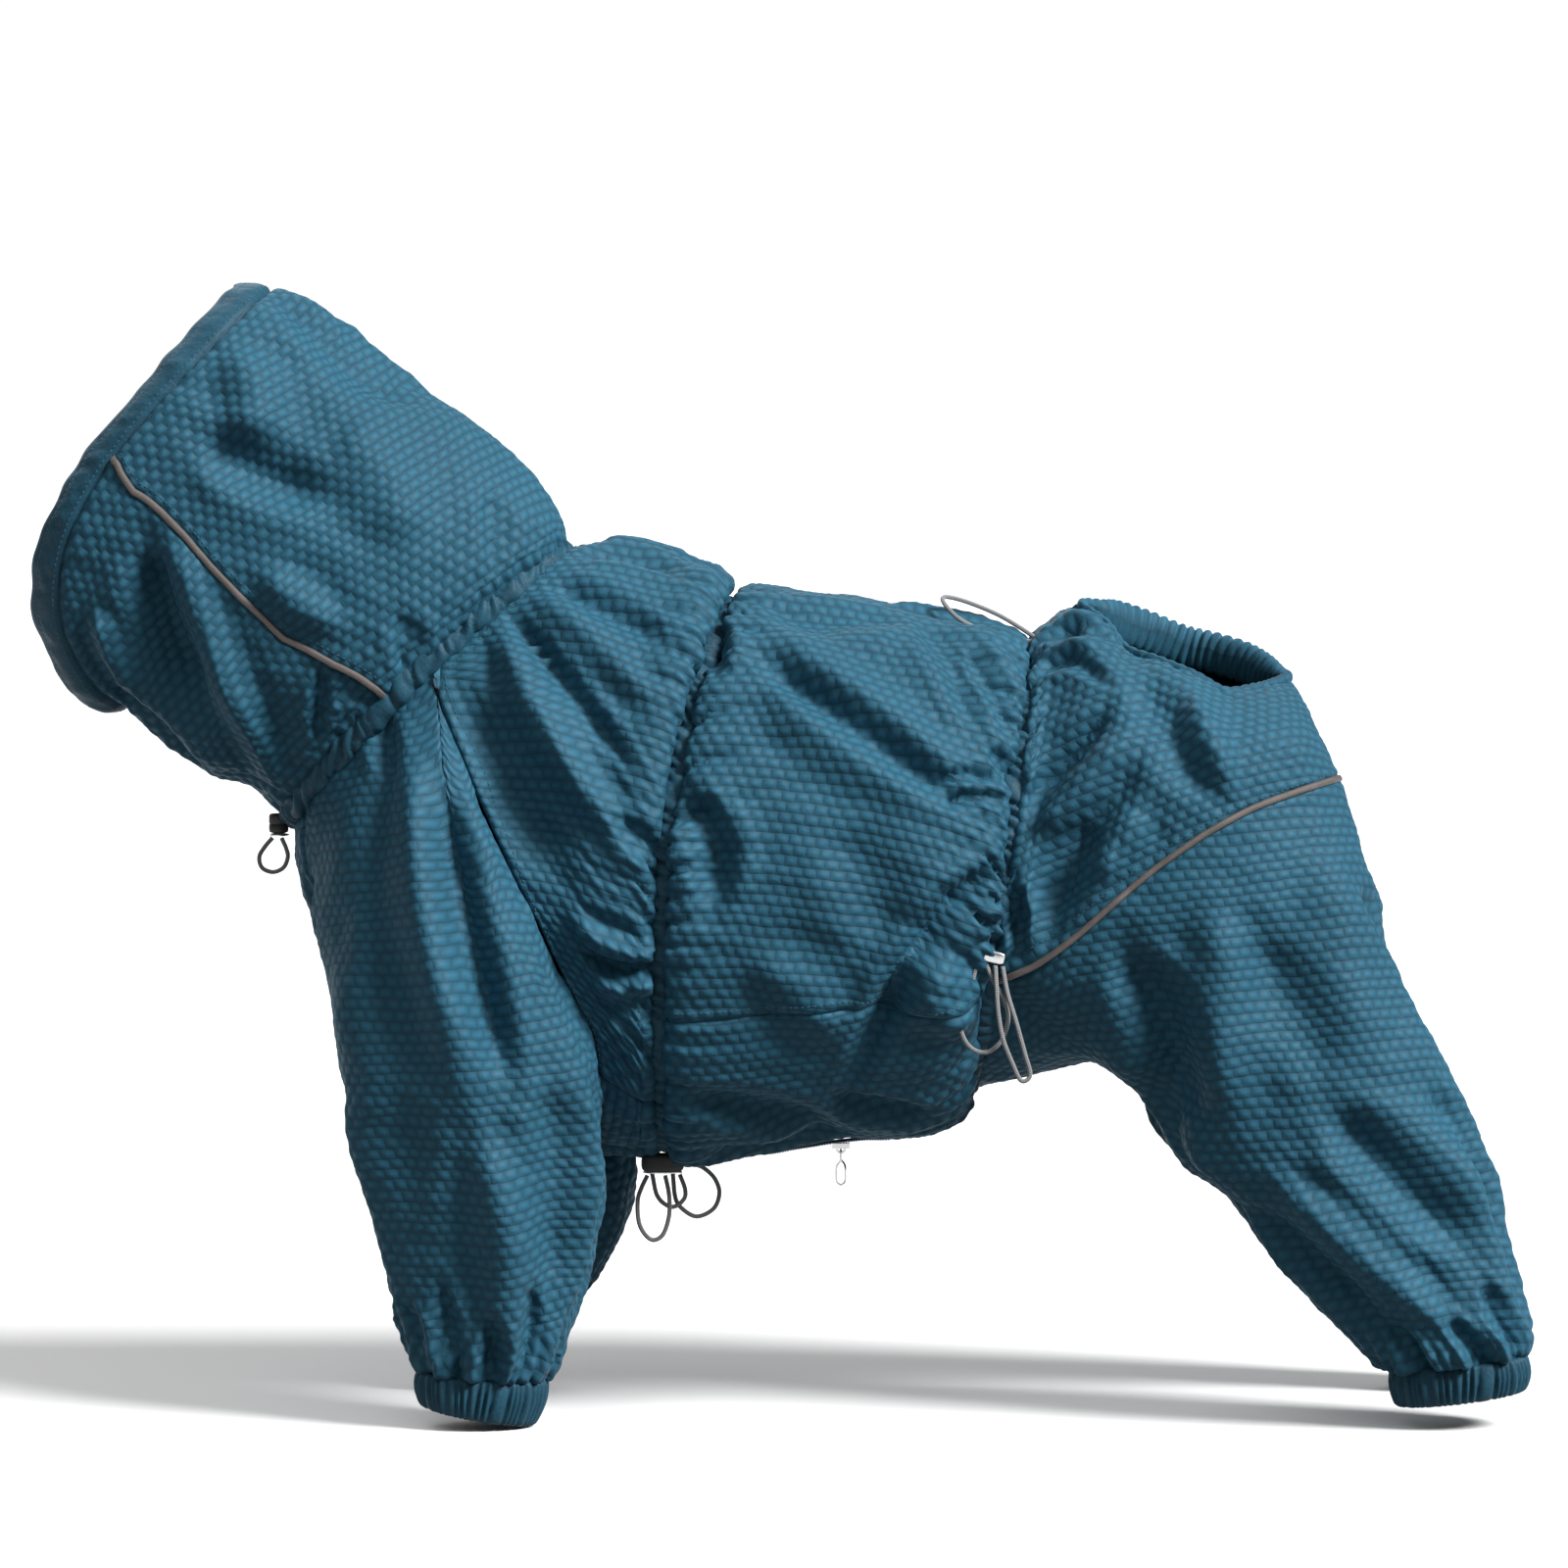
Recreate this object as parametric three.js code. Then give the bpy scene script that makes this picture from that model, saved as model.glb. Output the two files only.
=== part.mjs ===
// A hooded rain suit for a dog: hood, chest, body and rump joined by three ruched drawcord casings,
// with four sleeves. Millimetres. +X runs towards the tail, -Y is the dog's left side and +Z is up.
// The origin is on the inner face of the cloth over the middle of the back, where the wearer carries it.
import * as THREE from 'three';

// ---- driving sizes ----------------------------------------------------------------------------
const WALL = 1.6; // shell cloth with its seam allowances
const BRIM_WALL = 2.4; // doubled cloth
const HALF_SEAM = 0.2; // each panel stops this far short of its seam line
const BRIM_WIDTH = 13;
const SIDE_SEAM_TURN = 118; // degrees round a ring, from the spine, of the seam between back and belly
const HIP_SEAM_TURN = 118;
const BIB_NECK_TURN = 150;
const CHEST_SIDE_TURN = 142;
const PIPING = { width: 3.8, thick: 1.0, lift: 0.7 };
const ZIP = { width: 8, thick: 1.6, lift: 0.9 };
const TAIL_BAND_RADIUS = 2.4;
const CORD_DIAMETER = 2.5;
const CORD_SIDES = 8;

// ---- colours and finishes -----------------------------------------------------------------------
const CLOTH = { color: 0x2d6480, roughness: 0.55, metalness: 0 };
const CASING_CLOTH = { color: 0x28586f, roughness: 0.6, metalness: 0 };
const REFLECTIVE = { color: 0x6e6462, roughness: 0.45, metalness: 0 };
const CORD = { color: 0x77777b, roughness: 0.6, metalness: 0 };
const BLACK_PLASTIC = { color: 0x15171a, roughness: 0.4, metalness: 0 };
const METAL = { color: 0xc9cacc, roughness: 0.25, metalness: 1 };
const ZIP_TAPE = { color: 0x24485a, roughness: 0.7, metalness: 0 };

function table(names, rows) {
  return rows.map((row) => Object.fromEntries(names.map((name, i) => [name, row[i]])));
}

// Rings of the hood, the chest and the body: where each meets the spine line and the under line, half its
// breadth, how far its sides bow forward, and how much of that bow sits low.
const RING_COLUMNS = ['topX', 'topZ', 'lowX', 'lowZ', 'half', 'bow', 'low'];
const HOOD_RINGS = table(RING_COLUMNS, [
  [-169, 27, -319, -119, 62, 8, 0],
  [-182, 63, -340, -102, 74, 11, 0.1],
  [-220, 103, -366, -96, 80, 18, 0.2],
  [-267, 129, -391, -74, 78, 27, 0.35],
  [-302, 161, -407, -60, 73, 37, 0.5],
  [-327, 172, -419, -62, 69, 45, 0.6],
  [-340, 179, -426, -62, 65, 49, 0.65],
]);
const CHEST_RINGS = table(RING_COLUMNS, [
  [-169, 27, -319, -119, 62, 8, 0],
  [-157, 32, -314, -160, 74, 4, 0],
  [-132, 31, -283, -215, 86, 0, 0],
  [-105, 23, -234, -266, 95, -4, 0],
  [-84, 14, -170, -299, 99, 10, 0],
  [-74, -2, -111, -306, 94, 18, -0.35],
]);
const BODY_RINGS = table(RING_COLUMNS, [
  [-74, -2, -111, -306, 94, 18, -0.35],
  [-63, 3, -99, -311, 102, 15, -0.3],
  [-44, 4, -66, -309, 107, 10, 0],
  [0, 1.6, -16, -301, 110, 4, 0],
  [44, -8, 25, -300, 107, 0, 0],
  [74, -17, 47, -289, 97, 0, 0],
  [93, -31, 58, -273, 85, 0, 0],
]);
const HIP_RING = { topX: 99, topZ: -28, lowX: 65, lowZ: -272, half: 86, bow: 0, low: 0 };

// Seams in side view, on the cloth.
const RAGLAN_SEAM = table(['x', 'z'], [
  [-234, -37], [-224, -75], [-209, -112], [-192, -149], [-176, -181], [-152, -228], [-146, -258],
]);
const HOOD_SEAM = table(['x', 'z'], [
  [-272, -42], [-292, -31], [-319, -18], [-346, 9], [-374, 40], [-401, 63], [-413, 82],
]);
// Edge of the front panel, as degrees round the chest and as a share of its length from neck to casing.
const BIB_EDGE = table(['turn', 'share'], [[152, 0.78], [159, 0.6], [157, 0.33], [BIB_NECK_TURN, 0]]);

// Rump stations from the waist to the tail seam: the top edge (spine, lips of the tail opening, spine again)
// and the hip seam below it. The left lip sags lower than the right one.
const RUMP_STATIONS = table(['x', 'half', 'leftZ', 'rightZ', 'hipX', 'hipHalf', 'hipZ'], [
  [107, 0, -13, -13, 94, 88, -197],
  [123, 0, -2, -2, 115, 96, -181],
  [136, 15, -12, -4, 135, 100, -163],
  [146, 31, -25, -6, 152, 103, -148],
  [163, 44, -31, -12, 172, 104, -133],
  [183, 50, -39, -20, 192, 103, -120],
  [200, 46, -48, -24, 212, 98, -110],
  [217, 33, -47, -29, 232, 88, -103],
  [228, 20, -45, -35, 250, 75, -98],
  [235, 9, -43, -41, 264, 46, -96],
  [238, 0, -42, -42, 258, 0, -103],
]);
const CROTCH_SEAM = table(['x', 'z'], [
  [65, -272], [90, -250], [130, -236], [176, -212], [215, -179], [242, -140], [258, -103],
]);

// Rings of the sleeves: front and rear of each in side view, its outer and inner side, and how much lower
// the inner side hangs.
const SLEEVE_COLUMNS = ['frontX', 'frontZ', 'rearX', 'rearZ', 'outer', 'inner', 'drop'];
const FRONT_SLEEVE_RINGS = table(SLEEVE_COLUMNS, [
  [-286, -243, -145, -246, 126, 42, 58],
  [-281, -281, -143, -281, 124, 39, 40],
  [-274, -314, -143, -316, 120, 39, 22],
  [-266, -357, -148, -357, 114, 41, 8],
  [-258, -389, -158, -389, 107, 43, 2],
  [-249, -410, -170, -413, 102, 46, 0],
  [-245, -422, -177, -426, 99, 48, 0],
]);
const HIND_SLEEVE_RINGS = table(SLEEVE_COLUMNS, [
  [135, -250, 294, -181, 109, 10, 12],
  [157, -269, 310, -221, 111, 14, 9],
  [172, -303, 329, -265, 112, 20, 6],
  [200, -328, 345, -306, 113, 26, 0],
  [226, -362, 358, -349, 110, 34, 0],
  [258, -394, 364, -386, 106, 42, 0],
  [284, -411, 366, -404, 103, 46, 0],
  [293, -419, 364, -412, 101, 48, 0],
]);
const FRONT_CUFF_RINGS = table(SLEEVE_COLUMNS, [
  [-247.3, -422.7, -174.6, -427.2, 101, 46, 0],
  [-247.3, -432.6, -176.6, -439.4, 102, 45, 0],
  [-244.3, -442.4, -182.4, -453.2, 99, 48, 0],
]);
const HIND_CUFF_RINGS = table(SLEEVE_COLUMNS, [
  [291.9, -419.7, 366.5, -413, 102, 47, 0],
  [291.9, -431.6, 368, -423.7, 103, 46, 0],
  [294.8, -442.4, 365.5, -433.5, 100, 49, 0],
]);
const RIGHT_STEPS = [10, 12, 14, 12, 6, -3, -6]; // how much further back the rings of the right front sleeve are
const SHOULDER_BULGE = 12;
const HIP_BULGE = 2;

// The largest folds in side view: a trough has a positive depth and a ridge a negative one.
const FOLDS = table(['x1', 'z1', 'x2', 'z2', 'width', 'depth'], [
  [-360, 85, -319, 47, 22, 6],
  [-401, 36, -366, -58, 20, 7],
  [-386, 41, -319, -107, 12, -4],
  [-195, -8, -124, -92, 13, 5],
  [-188, -40, -130, -130, 14, -3],
  [-242, -129, -198, -400, 16, -4],
  [-234, -91, -190, -250, 14, 4],
  [73, -139, -8, -262, 14, 5],
  [35, -195, -2, -240, 18, -4],
  [88, -114, 138, -52, 11, 5],
  [173, -212, 173, -289, 16, 5],
  [253, -272, 336, -355, 15, 4],
]);

// ---- shared shapes --------------------------------------------------------------------------------
const at = (x, y, z) => new THREE.Vector3(x, y, z);
const mix = (a, b, share) => a + (b - a) * share;
const radians = THREE.MathUtils.degToRad;

function glide(points, share) {
  return new THREE.CatmullRomCurve3(points, false, 'catmullrom', 0.5).getPoint(THREE.MathUtils.clamp(share, 0, 1));
}

// A ring is an ellipse between its top and bottom points; turn is 0 at the top and positive on the left side.
function ring({ topX, topZ, lowX, lowZ, half, bow, low }) {
  const middle = at((topX + lowX) / 2, 0, (topZ + lowZ) / 2);
  const reach = at((topX - lowX) / 2, 0, (topZ - lowZ) / 2);
  const forward = at(-reach.z, 0, reach.x).normalize();
  return (turn) => {
    const up = Math.cos(radians(turn));
    const side = Math.sin(radians(turn));
    const point = middle.clone().addScaledVector(reach, up);
    point.addScaledVector(forward, bow * Math.abs(side) ** 1.5 * (1 - low * up));
    point.y = -half * side;
    return point;
  };
}

// A skin glides from row to row; each row is a curve with the same parameter round it.
function skin(rows) {
  return (u, v) => glide(rows.map((row) => row(u)), v);
}

function slope(surface, u, v) {
  const step = 0.004;
  const low = Math.max(v - step, 0);
  const high = Math.min(v + step, 1);
  return surface(u, high).sub(surface(u, low)).divideScalar(high - low);
}

// A skin whose two ends are cut back by a clearance, so that a casing fits between it and its neighbour.
function trimmed(surface, startClear, endClear) {
  return (turn, share) => {
    const start = startClear / slope(surface, turn, 0).length();
    const end = 1 - endClear / slope(surface, turn, 1).length();
    return surface(turn, mix(start, end, share));
  };
}

function normalOf(surface, u, v, stepU, sign) {
  const across = surface(u + stepU, v).sub(surface(u - stepU, v));
  return across.cross(slope(surface, u, v)).normalize().multiplyScalar(sign);
}

// The turn and share at which a skin passes through a place in side view, by Newton's method.
function locate(surface, place, guess) {
  let { turn, share } = guess;
  for (let round = 0; round < 12; round += 1) {
    const here = surface(turn, share);
    const byTurn = surface(turn + 0.5, share).sub(here).multiplyScalar(2);
    const byShare = surface(turn, share + 0.01).sub(here).multiplyScalar(100);
    const missX = place.x - here.x;
    const missZ = place.z - here.z;
    const area = byTurn.x * byShare.z - byTurn.z * byShare.x;
    turn += THREE.MathUtils.clamp((missX * byShare.z - missZ * byShare.x) / area, -20, 20);
    share += THREE.MathUtils.clamp((byTurn.x * missZ - byTurn.z * missX) / area, -0.2, 0.2);
    share = THREE.MathUtils.clamp(share, 0, 1);
  }
  return { turn, share };
}

// How far the folds push the cloth inwards at a place.
function foldDepth(point) {
  let depth = 0;
  for (const fold of FOLDS) {
    const lineX = fold.x2 - fold.x1;
    const lineZ = fold.z2 - fold.z1;
    const along = ((point.x - fold.x1) * lineX + (point.z - fold.z1) * lineZ) / (lineX ** 2 + lineZ ** 2);
    const near = THREE.MathUtils.clamp(along, 0, 1);
    const away = Math.hypot(point.x - fold.x1 - near * lineX, point.z - fold.z1 - near * lineZ);
    depth += fold.depth * Math.exp(-((away / fold.width) ** 2));
  }
  return depth;
}

// A cloth vertex: its outer point, moved in by the folds, and the direction of its wall.
function stitchPoint(point, outward) {
  const sideways = Math.min(1, Math.abs(outward.y) * 1.5);
  return { point: point.clone().addScaledVector(outward, -foldDepth(point) * sideways), outward };
}

// ---- solids ---------------------------------------------------------------------------------------
function solid(positions, faces) {
  const geometry = new THREE.BufferGeometry();
  geometry.setAttribute('position', new THREE.Float32BufferAttribute(positions.flatMap((p) => [p.x, p.y, p.z]), 3));
  let volume = 0;
  for (const [a, b, c] of faces) {
    volume += positions[a].dot(positions[b].clone().cross(positions[c]));
  }
  geometry.setIndex(faces.flatMap(([a, b, c]) => (volume < 0 ? [a, c, b] : [a, b, c])));
  geometry.computeVertexNormals();
  return geometry;
}

function quad(faces, a, b, c, d) {
  faces.push([a, b, c], [a, c, d]);
}

// Draws a border vertex towards the one inside it.
function drawn(vertex, inside, distance) {
  const direction = inside.point.clone().sub(vertex.point).normalize();
  return { point: vertex.point.clone().addScaledVector(direction, distance), outward: vertex.outward };
}

// A wall of cloth on a grid of vertices, columns round and rows along. Open borders stop short of their seams;
// clear gives the distance for the four borders, and side keeps the wall on one side of the middle plane.
function wall(grid, { thickness = WALL, closed = false, clear = {}, side = 0 } = {}) {
  const columns = grid.length;
  const rows = grid[0].length;
  const cut = { first: HALF_SEAM, last: HALF_SEAM, start: HALF_SEAM, end: HALF_SEAM, ...clear };
  const border = (value, index) => (typeof value === 'function' ? value(index) : value);
  let cloth = grid.map((column, i) => column.map((vertex, j) => {
    if (j === 0) return drawn(vertex, column[1], border(cut.start, i));
    if (j === rows - 1) return drawn(vertex, column[rows - 2], border(cut.end, i));
    return vertex;
  }));
  if (!closed) {
    cloth = cloth.map((column, i) => column.map((vertex, j) => {
      if (i === 0) return drawn(vertex, cloth[1][j], border(cut.first, j));
      if (i === columns - 1) return drawn(vertex, cloth[columns - 2][j], border(cut.last, j));
      return vertex;
    }));
  }
  const outer = cloth.flat().map((vertex) => vertex.point.clone());
  const inner = cloth.flat().map((vertex) => vertex.point.clone().addScaledVector(vertex.outward, -thickness));
  const positions = [...outer, ...inner];
  if (side !== 0) positions.forEach((p) => { p.y = side * Math.max(side * p.y, HALF_SEAM); });
  const id = (i, j, layer) => layer * columns * rows + (i % columns) * rows + j;
  const faces = [];
  const spans = closed ? columns : columns - 1;
  for (let i = 0; i < spans; i += 1) {
    for (let j = 0; j < rows - 1; j += 1) {
      quad(faces, id(i, j, 0), id(i + 1, j, 0), id(i + 1, j + 1, 0), id(i, j + 1, 0));
      quad(faces, id(i, j, 1), id(i, j + 1, 1), id(i + 1, j + 1, 1), id(i + 1, j, 1));
    }
    quad(faces, id(i, 0, 0), id(i, 0, 1), id(i + 1, 0, 1), id(i + 1, 0, 0));
    quad(faces, id(i, rows - 1, 0), id(i + 1, rows - 1, 0), id(i + 1, rows - 1, 1), id(i, rows - 1, 1));
  }
  if (!closed) {
    for (let j = 0; j < rows - 1; j += 1) {
      quad(faces, id(0, j, 0), id(0, j + 1, 0), id(0, j + 1, 1), id(0, j, 1));
      quad(faces, id(columns - 1, j, 0), id(columns - 1, j, 1), id(columns - 1, j + 1, 1), id(columns - 1, j + 1, 0));
    }
  }
  return solid(positions, faces);
}

// A section carried along a list of stations, each with its place and two directions; closed joins the ends.
function sweep(stations, section, closed) {
  const sides = section.length;
  const positions = stations.flatMap(({ place, across, out, scale = 1 }) => section.map(([a, b]) => (
    place.clone().addScaledVector(across, a * scale).addScaledVector(out, b * scale))));
  const count = stations.length;
  const id = (i, k) => (i % count) * sides + (k % sides);
  const faces = [];
  for (let i = 0; i < (closed ? count : count - 1); i += 1) {
    for (let k = 0; k < sides; k += 1) quad(faces, id(i, k), id(i + 1, k), id(i + 1, k + 1), id(i, k + 1));
  }
  if (!closed) {
    for (let k = 1; k < sides - 1; k += 1) {
      faces.push([id(0, 0), id(0, k), id(0, k + 1)]);
      faces.push([id(count - 1, 0), id(count - 1, k + 1), id(count - 1, k)]);
    }
  }
  return solid(positions, faces);
}

function roundSection(half, deep, sides) {
  return Array.from({ length: sides }, (_, k) => [
    half * Math.cos(2 * Math.PI * k / sides), deep * Math.sin(2 * Math.PI * k / sides)]);
}

function mirrored(geometry) {
  const copy = geometry.clone();
  copy.scale(1, -1, 1);
  const index = copy.getIndex();
  for (let i = 0; i < index.count; i += 3) {
    const second = index.getX(i + 1);
    index.setX(i + 1, index.getX(i + 2));
    index.setX(i + 2, second);
  }
  copy.computeVertexNormals();
  return copy;
}

const suit = new THREE.Group();
function add(name, geometry, finish) {
  const mesh = new THREE.Mesh(geometry, new THREE.MeshStandardMaterial(finish));
  mesh.name = name;
  suit.add(mesh);
  return mesh;
}

// ---- the three tubes of the suit ----------------------------------------------------------------------
// A casing's ruffle is how far its puckers stand out, and its room is what lies between them and the cloth.
const NECK_CASING = { half: 6, deep: 3.2, ruffle: 0.1, room: -0.3, segments: 36 };
const CHEST_CASING = { half: 6, deep: 3.2, ruffle: 0.12, room: 0.5, segments: 36 };
const WAIST_CASING = { half: 5.1, deep: 3, ruffle: 0.12, room: -0.6, segments: 36 };
const clearOf = ({ half, ruffle, room }) => half * (1 + ruffle) + room;

const HOOD_FORM = skin(HOOD_RINGS.map(ring));
const CHEST_FORM = skin(CHEST_RINGS.map(ring));
const BODY_FORM = skin(BODY_RINGS.map(ring));
const HOOD = trimmed(HOOD_FORM, clearOf(NECK_CASING), BRIM_WIDTH);
const CHEST = trimmed(CHEST_FORM, clearOf(NECK_CASING), clearOf(CHEST_CASING));
const BODY = trimmed(BODY_FORM, clearOf(CHEST_CASING), clearOf(WAIST_CASING));
const TURN_STEP = 0.5;
const chestVertex = (turn, share) => stitchPoint(CHEST(turn, share), normalOf(CHEST, turn, share, TURN_STEP, 1));
const bodyVertex = (turn, share) => stitchPoint(BODY(turn, share), normalOf(BODY, turn, share, TURN_STEP, 1));
const hoodVertex = (turn, share) => stitchPoint(HOOD(turn, share), normalOf(HOOD, turn, share, TURN_STEP, -1));

function grid(columns, rows, vertex) {
  return Array.from({ length: columns + 1 }, (_, i) => (
    Array.from({ length: rows + 1 }, (__, j) => vertex(i / columns, j / rows, i, j))));
}

// ---- hood -------------------------------------------------------------------------------------------------
const HOOD_ROWS = 8;
const CROWN_COLUMNS = 14;
const THROAT_COLUMNS = 10;
const hoodSeam = HOOD_SEAM.map((place) => locate(HOOD, place, { turn: 90, share: 0.5 }));

// Degrees from the crown at which the piped seam lies, for a share of the hood's length.
function hoodSeamTurn(share) {
  for (let k = 1; k < hoodSeam.length; k += 1) {
    const a = hoodSeam[k - 1];
    const b = hoodSeam[k];
    if (share <= b.share || k === hoodSeam.length - 1) {
      return mix(a.turn, b.turn, (share - a.share) / (b.share - a.share));
    }
  }
  return hoodSeam[0].turn;
}

function makeHood() {
  const crown = grid(CROWN_COLUMNS, HOOD_ROWS, (u, v) => hoodVertex(mix(-1, 1, u) * hoodSeamTurn(v), v));
  add('hood_crown', wall(crown), CLOTH);
  const throat = grid(THROAT_COLUMNS, HOOD_ROWS, (u, v) => hoodVertex(mix(hoodSeamTurn(v), 360 - hoodSeamTurn(v), u), v));
  add('hood_throat', wall(throat), CLOTH);

  const start = (turn) => 1 - BRIM_WIDTH / slope(HOOD_FORM, turn, 1).length();
  const seam = hoodSeamTurn(1);
  const turns = [];
  for (let i = 0; i < CROWN_COLUMNS; i += 1) turns.push(mix(-seam, seam, i / CROWN_COLUMNS));
  for (let i = 0; i < THROAT_COLUMNS; i += 1) turns.push(mix(seam, 360 - seam, i / THROAT_COLUMNS));
  const brim = turns.map((turn) => [start(turn), 1].map((v) => (
    stitchPoint(HOOD_FORM(turn, v), normalOf(HOOD_FORM, turn, v, TURN_STEP, -1)))));
  add('hood_brim', wall(brim, { thickness: BRIM_WALL, closed: true, clear: { start: 0.4, end: 0 } }), CLOTH);
}

// A flat piping strip along seam stations, each a vertex of the cloth and the direction of the seam.
function strip(vertices, { width, thick, lift }) {
  const stations = vertices.map(({ point, outward }, i) => {
    const before = vertices[Math.max(i - 1, 0)].point;
    const after = vertices[Math.min(i + 1, vertices.length - 1)].point;
    const along = after.clone().sub(before).normalize();
    return { place: point, across: along.clone().cross(outward).normalize(), out: outward };
  });
  const half = width / 2;
  return sweep(stations, [[-half, lift], [half, lift], [half, lift + thick], [-half, lift + thick]], false);
}

function makeHoodPiping() {
  const vertices = Array.from({ length: HOOD_ROWS + 1 }, (_, j) => (
    hoodVertex(hoodSeamTurn(j / HOOD_ROWS), j / HOOD_ROWS)));
  const left = strip(vertices, PIPING);
  add('hood_piping_left', left, REFLECTIVE);
  add('hood_piping_right', mirrored(left), REFLECTIVE);
}

// ---- chest and front sleeves ------------------------------------------------------------------------------
const NECK_STEPS = 4;
const RAGLAN_STEPS = 6;
const BIB_STEPS = 9;
const ARC_STEPS = 5;
const CHEST_STEPS = 4;
const SLEEVE_COLUMNS_ROUND = RAGLAN_STEPS + BIB_STEPS + ARC_STEPS;

const raglan = RAGLAN_SEAM.map((place) => locate(CHEST, place, { turn: 100, share: 0.5 }));
raglan[0].share = 0;
const underArm = raglan[raglan.length - 1];
const onPath = (path) => (share) => {
  const spot = glide(path.map(({ turn, share: along }) => at(turn, along, 0)), share);
  return { turn: spot.x, share: THREE.MathUtils.clamp(spot.y, 0, 1) };
};
const raglanPath = onPath(raglan);
const bibPath = onPath([underArm, ...BIB_EDGE]);
const sidePath = onPath([underArm, { turn: CHEST_SIDE_TURN, share: 1 }]);

function makeChest() {
  const edge = [];
  for (let i = 0; i < NECK_STEPS; i += 1) edge.push({ turn: raglan[0].turn * i / NECK_STEPS, share: 0 });
  for (let i = 0; i <= RAGLAN_STEPS; i += 1) edge.push(raglanPath(i / RAGLAN_STEPS));
  const last = edge.length - 1;
  const back = [];
  for (let i = -last; i <= last; i += 1) {
    const from = edge[Math.abs(i)];
    const to = CHEST_SIDE_TURN * Math.abs(i) / last;
    back.push(Array.from({ length: CHEST_STEPS + 1 }, (_, j) => {
      const share = j / CHEST_STEPS;
      return chestVertex(Math.sign(i) * mix(from.turn, to, share), mix(from.share, 1, share));
    }));
  }
  add('chest_back', wall(back), CLOTH);

  const rim = [];
  for (let i = 0; i < BIB_STEPS; i += 1) rim.push(bibPath(1 - i / BIB_STEPS));
  for (let i = 0; i <= CHEST_STEPS; i += 1) rim.push(sidePath(i / CHEST_STEPS));
  const bib = grid(6, rim.length - 1, (u, v, i, j) => (
    chestVertex(mix(rim[j].turn, 360 - rim[j].turn, u), rim[j].share)));
  add('chest_bib', wall(bib), CLOTH);
}

// One ring of a left sleeve: u is 0 at its outer side, then rear, inner side and front.
function sleeveRing({ frontX, frontZ, rearX, rearZ, outer, inner, drop }, step = 0) {
  return (u) => {
    const toRear = Math.sin(2 * Math.PI * u);
    const toOuter = Math.cos(2 * Math.PI * u);
    return at(
      step + mix(frontX, rearX, (1 + toRear) / 2),
      -mix(inner, outer, (1 + toOuter) / 2),
      mix(frontZ, rearZ, (1 + toRear) / 2) - drop * (1 - toOuter) / 2,
    );
  };
}

// A row halfway between the armhole or hip seam and the first ring, swelled outwards.
function swelled(rowA, rowB, bulge) {
  return (u) => {
    const point = rowA(u).add(rowB(u)).multiplyScalar(0.5);
    point.y -= bulge * (1 + Math.cos(2 * Math.PI * u)) / 2;
    return point;
  };
}

function armholeSpot(u) {
  const step = u * SLEEVE_COLUMNS_ROUND;
  if (step <= RAGLAN_STEPS) return raglanPath(step / RAGLAN_STEPS);
  if (step <= RAGLAN_STEPS + BIB_STEPS) return bibPath((step - RAGLAN_STEPS) / BIB_STEPS);
  const share = (step - RAGLAN_STEPS - BIB_STEPS) / ARC_STEPS;
  return { turn: mix(BIB_NECK_TURN, raglan[0].turn, share), share: 0 };
}

const wrap = (u) => u - Math.floor(u);

// The sleeve's edge stands clear of its seam towards the heart of the armhole. Where the seam is a hollow
// corner, as in the armpit, the wall starts halfway between the ways out of the chest and of the sleeve.
function armholeVertex(u, heart, sleeveOutward) {
  const spot = armholeSpot(u);
  const seam = chestVertex(spot.turn, spot.share);
  const inwards = heart.clone().sub(seam.point).projectOnPlane(seam.outward).normalize();
  const hollow = sleeveOutward.dot(inwards) < 0;
  return {
    point: seam.point.addScaledVector(inwards, 2 * HALF_SEAM),
    outward: hollow ? seam.outward.add(sleeveOutward).normalize() : seam.outward,
  };
}

// A left front sleeve whose rings stand some steps further back.
function frontSleeve(steps) {
  const armhole = (u) => {
    const spot = armholeSpot(wrap(u));
    return CHEST(spot.turn, spot.share);
  };
  const rings = FRONT_SLEEVE_RINGS.map((row, i) => sleeveRing(row, steps[i]));
  const rows = [armhole, swelled(armhole, rings[0], SHOULDER_BULGE), ...rings];
  const form = skin(rows);
  const shares = Array.from({ length: SLEEVE_COLUMNS_ROUND }, (_, i) => i / SLEEVE_COLUMNS_ROUND);
  const heart = shares.reduce((sum, u) => sum.add(armhole(u)), at(0, 0, 0)).divideScalar(shares.length);
  const sleeve = shares.map((u) => rows.map((row, j) => {
    if (j === 0) return armholeVertex(u, heart, normalOf(form, u, 0.04, 0.004, -1));
    const v = j / (rows.length - 1);
    return stitchPoint(form(u, v), normalOf(form, u, v, 0.004, -1));
  }));
  return wall(sleeve, { closed: true, clear: { start: 0, end: 0 } });
}

function makeFrontSleeves() {
  add('front_sleeve_left', frontSleeve(RIGHT_STEPS.map(() => 0)), CLOTH);
  add('front_sleeve_right', mirrored(frontSleeve(RIGHT_STEPS)), CLOTH);
}

// ---- body ---------------------------------------------------------------------------------------------------
function makeBody() {
  const back = grid(16, 6, (u, v) => bodyVertex(mix(-SIDE_SEAM_TURN, SIDE_SEAM_TURN, u), v));
  add('body_back', wall(back), CLOTH);
  const belly = grid(8, 6, (u, v) => bodyVertex(mix(SIDE_SEAM_TURN, 360 - SIDE_SEAM_TURN, u), v));
  add('body_belly', wall(belly, { clear: { start: 1.1 } }), CLOTH);
}

// ---- rump and hind sleeves -----------------------------------------------------------------------------------
const hipRing = ring(HIP_RING);
const HIP_STATIONS = RUMP_STATIONS.length; // stations after the first, which is the hip ring
const CROTCH_STEPS = 8;
const WAIST_STEPS = 3;
const RUMP_STEPS = 7;

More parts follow.
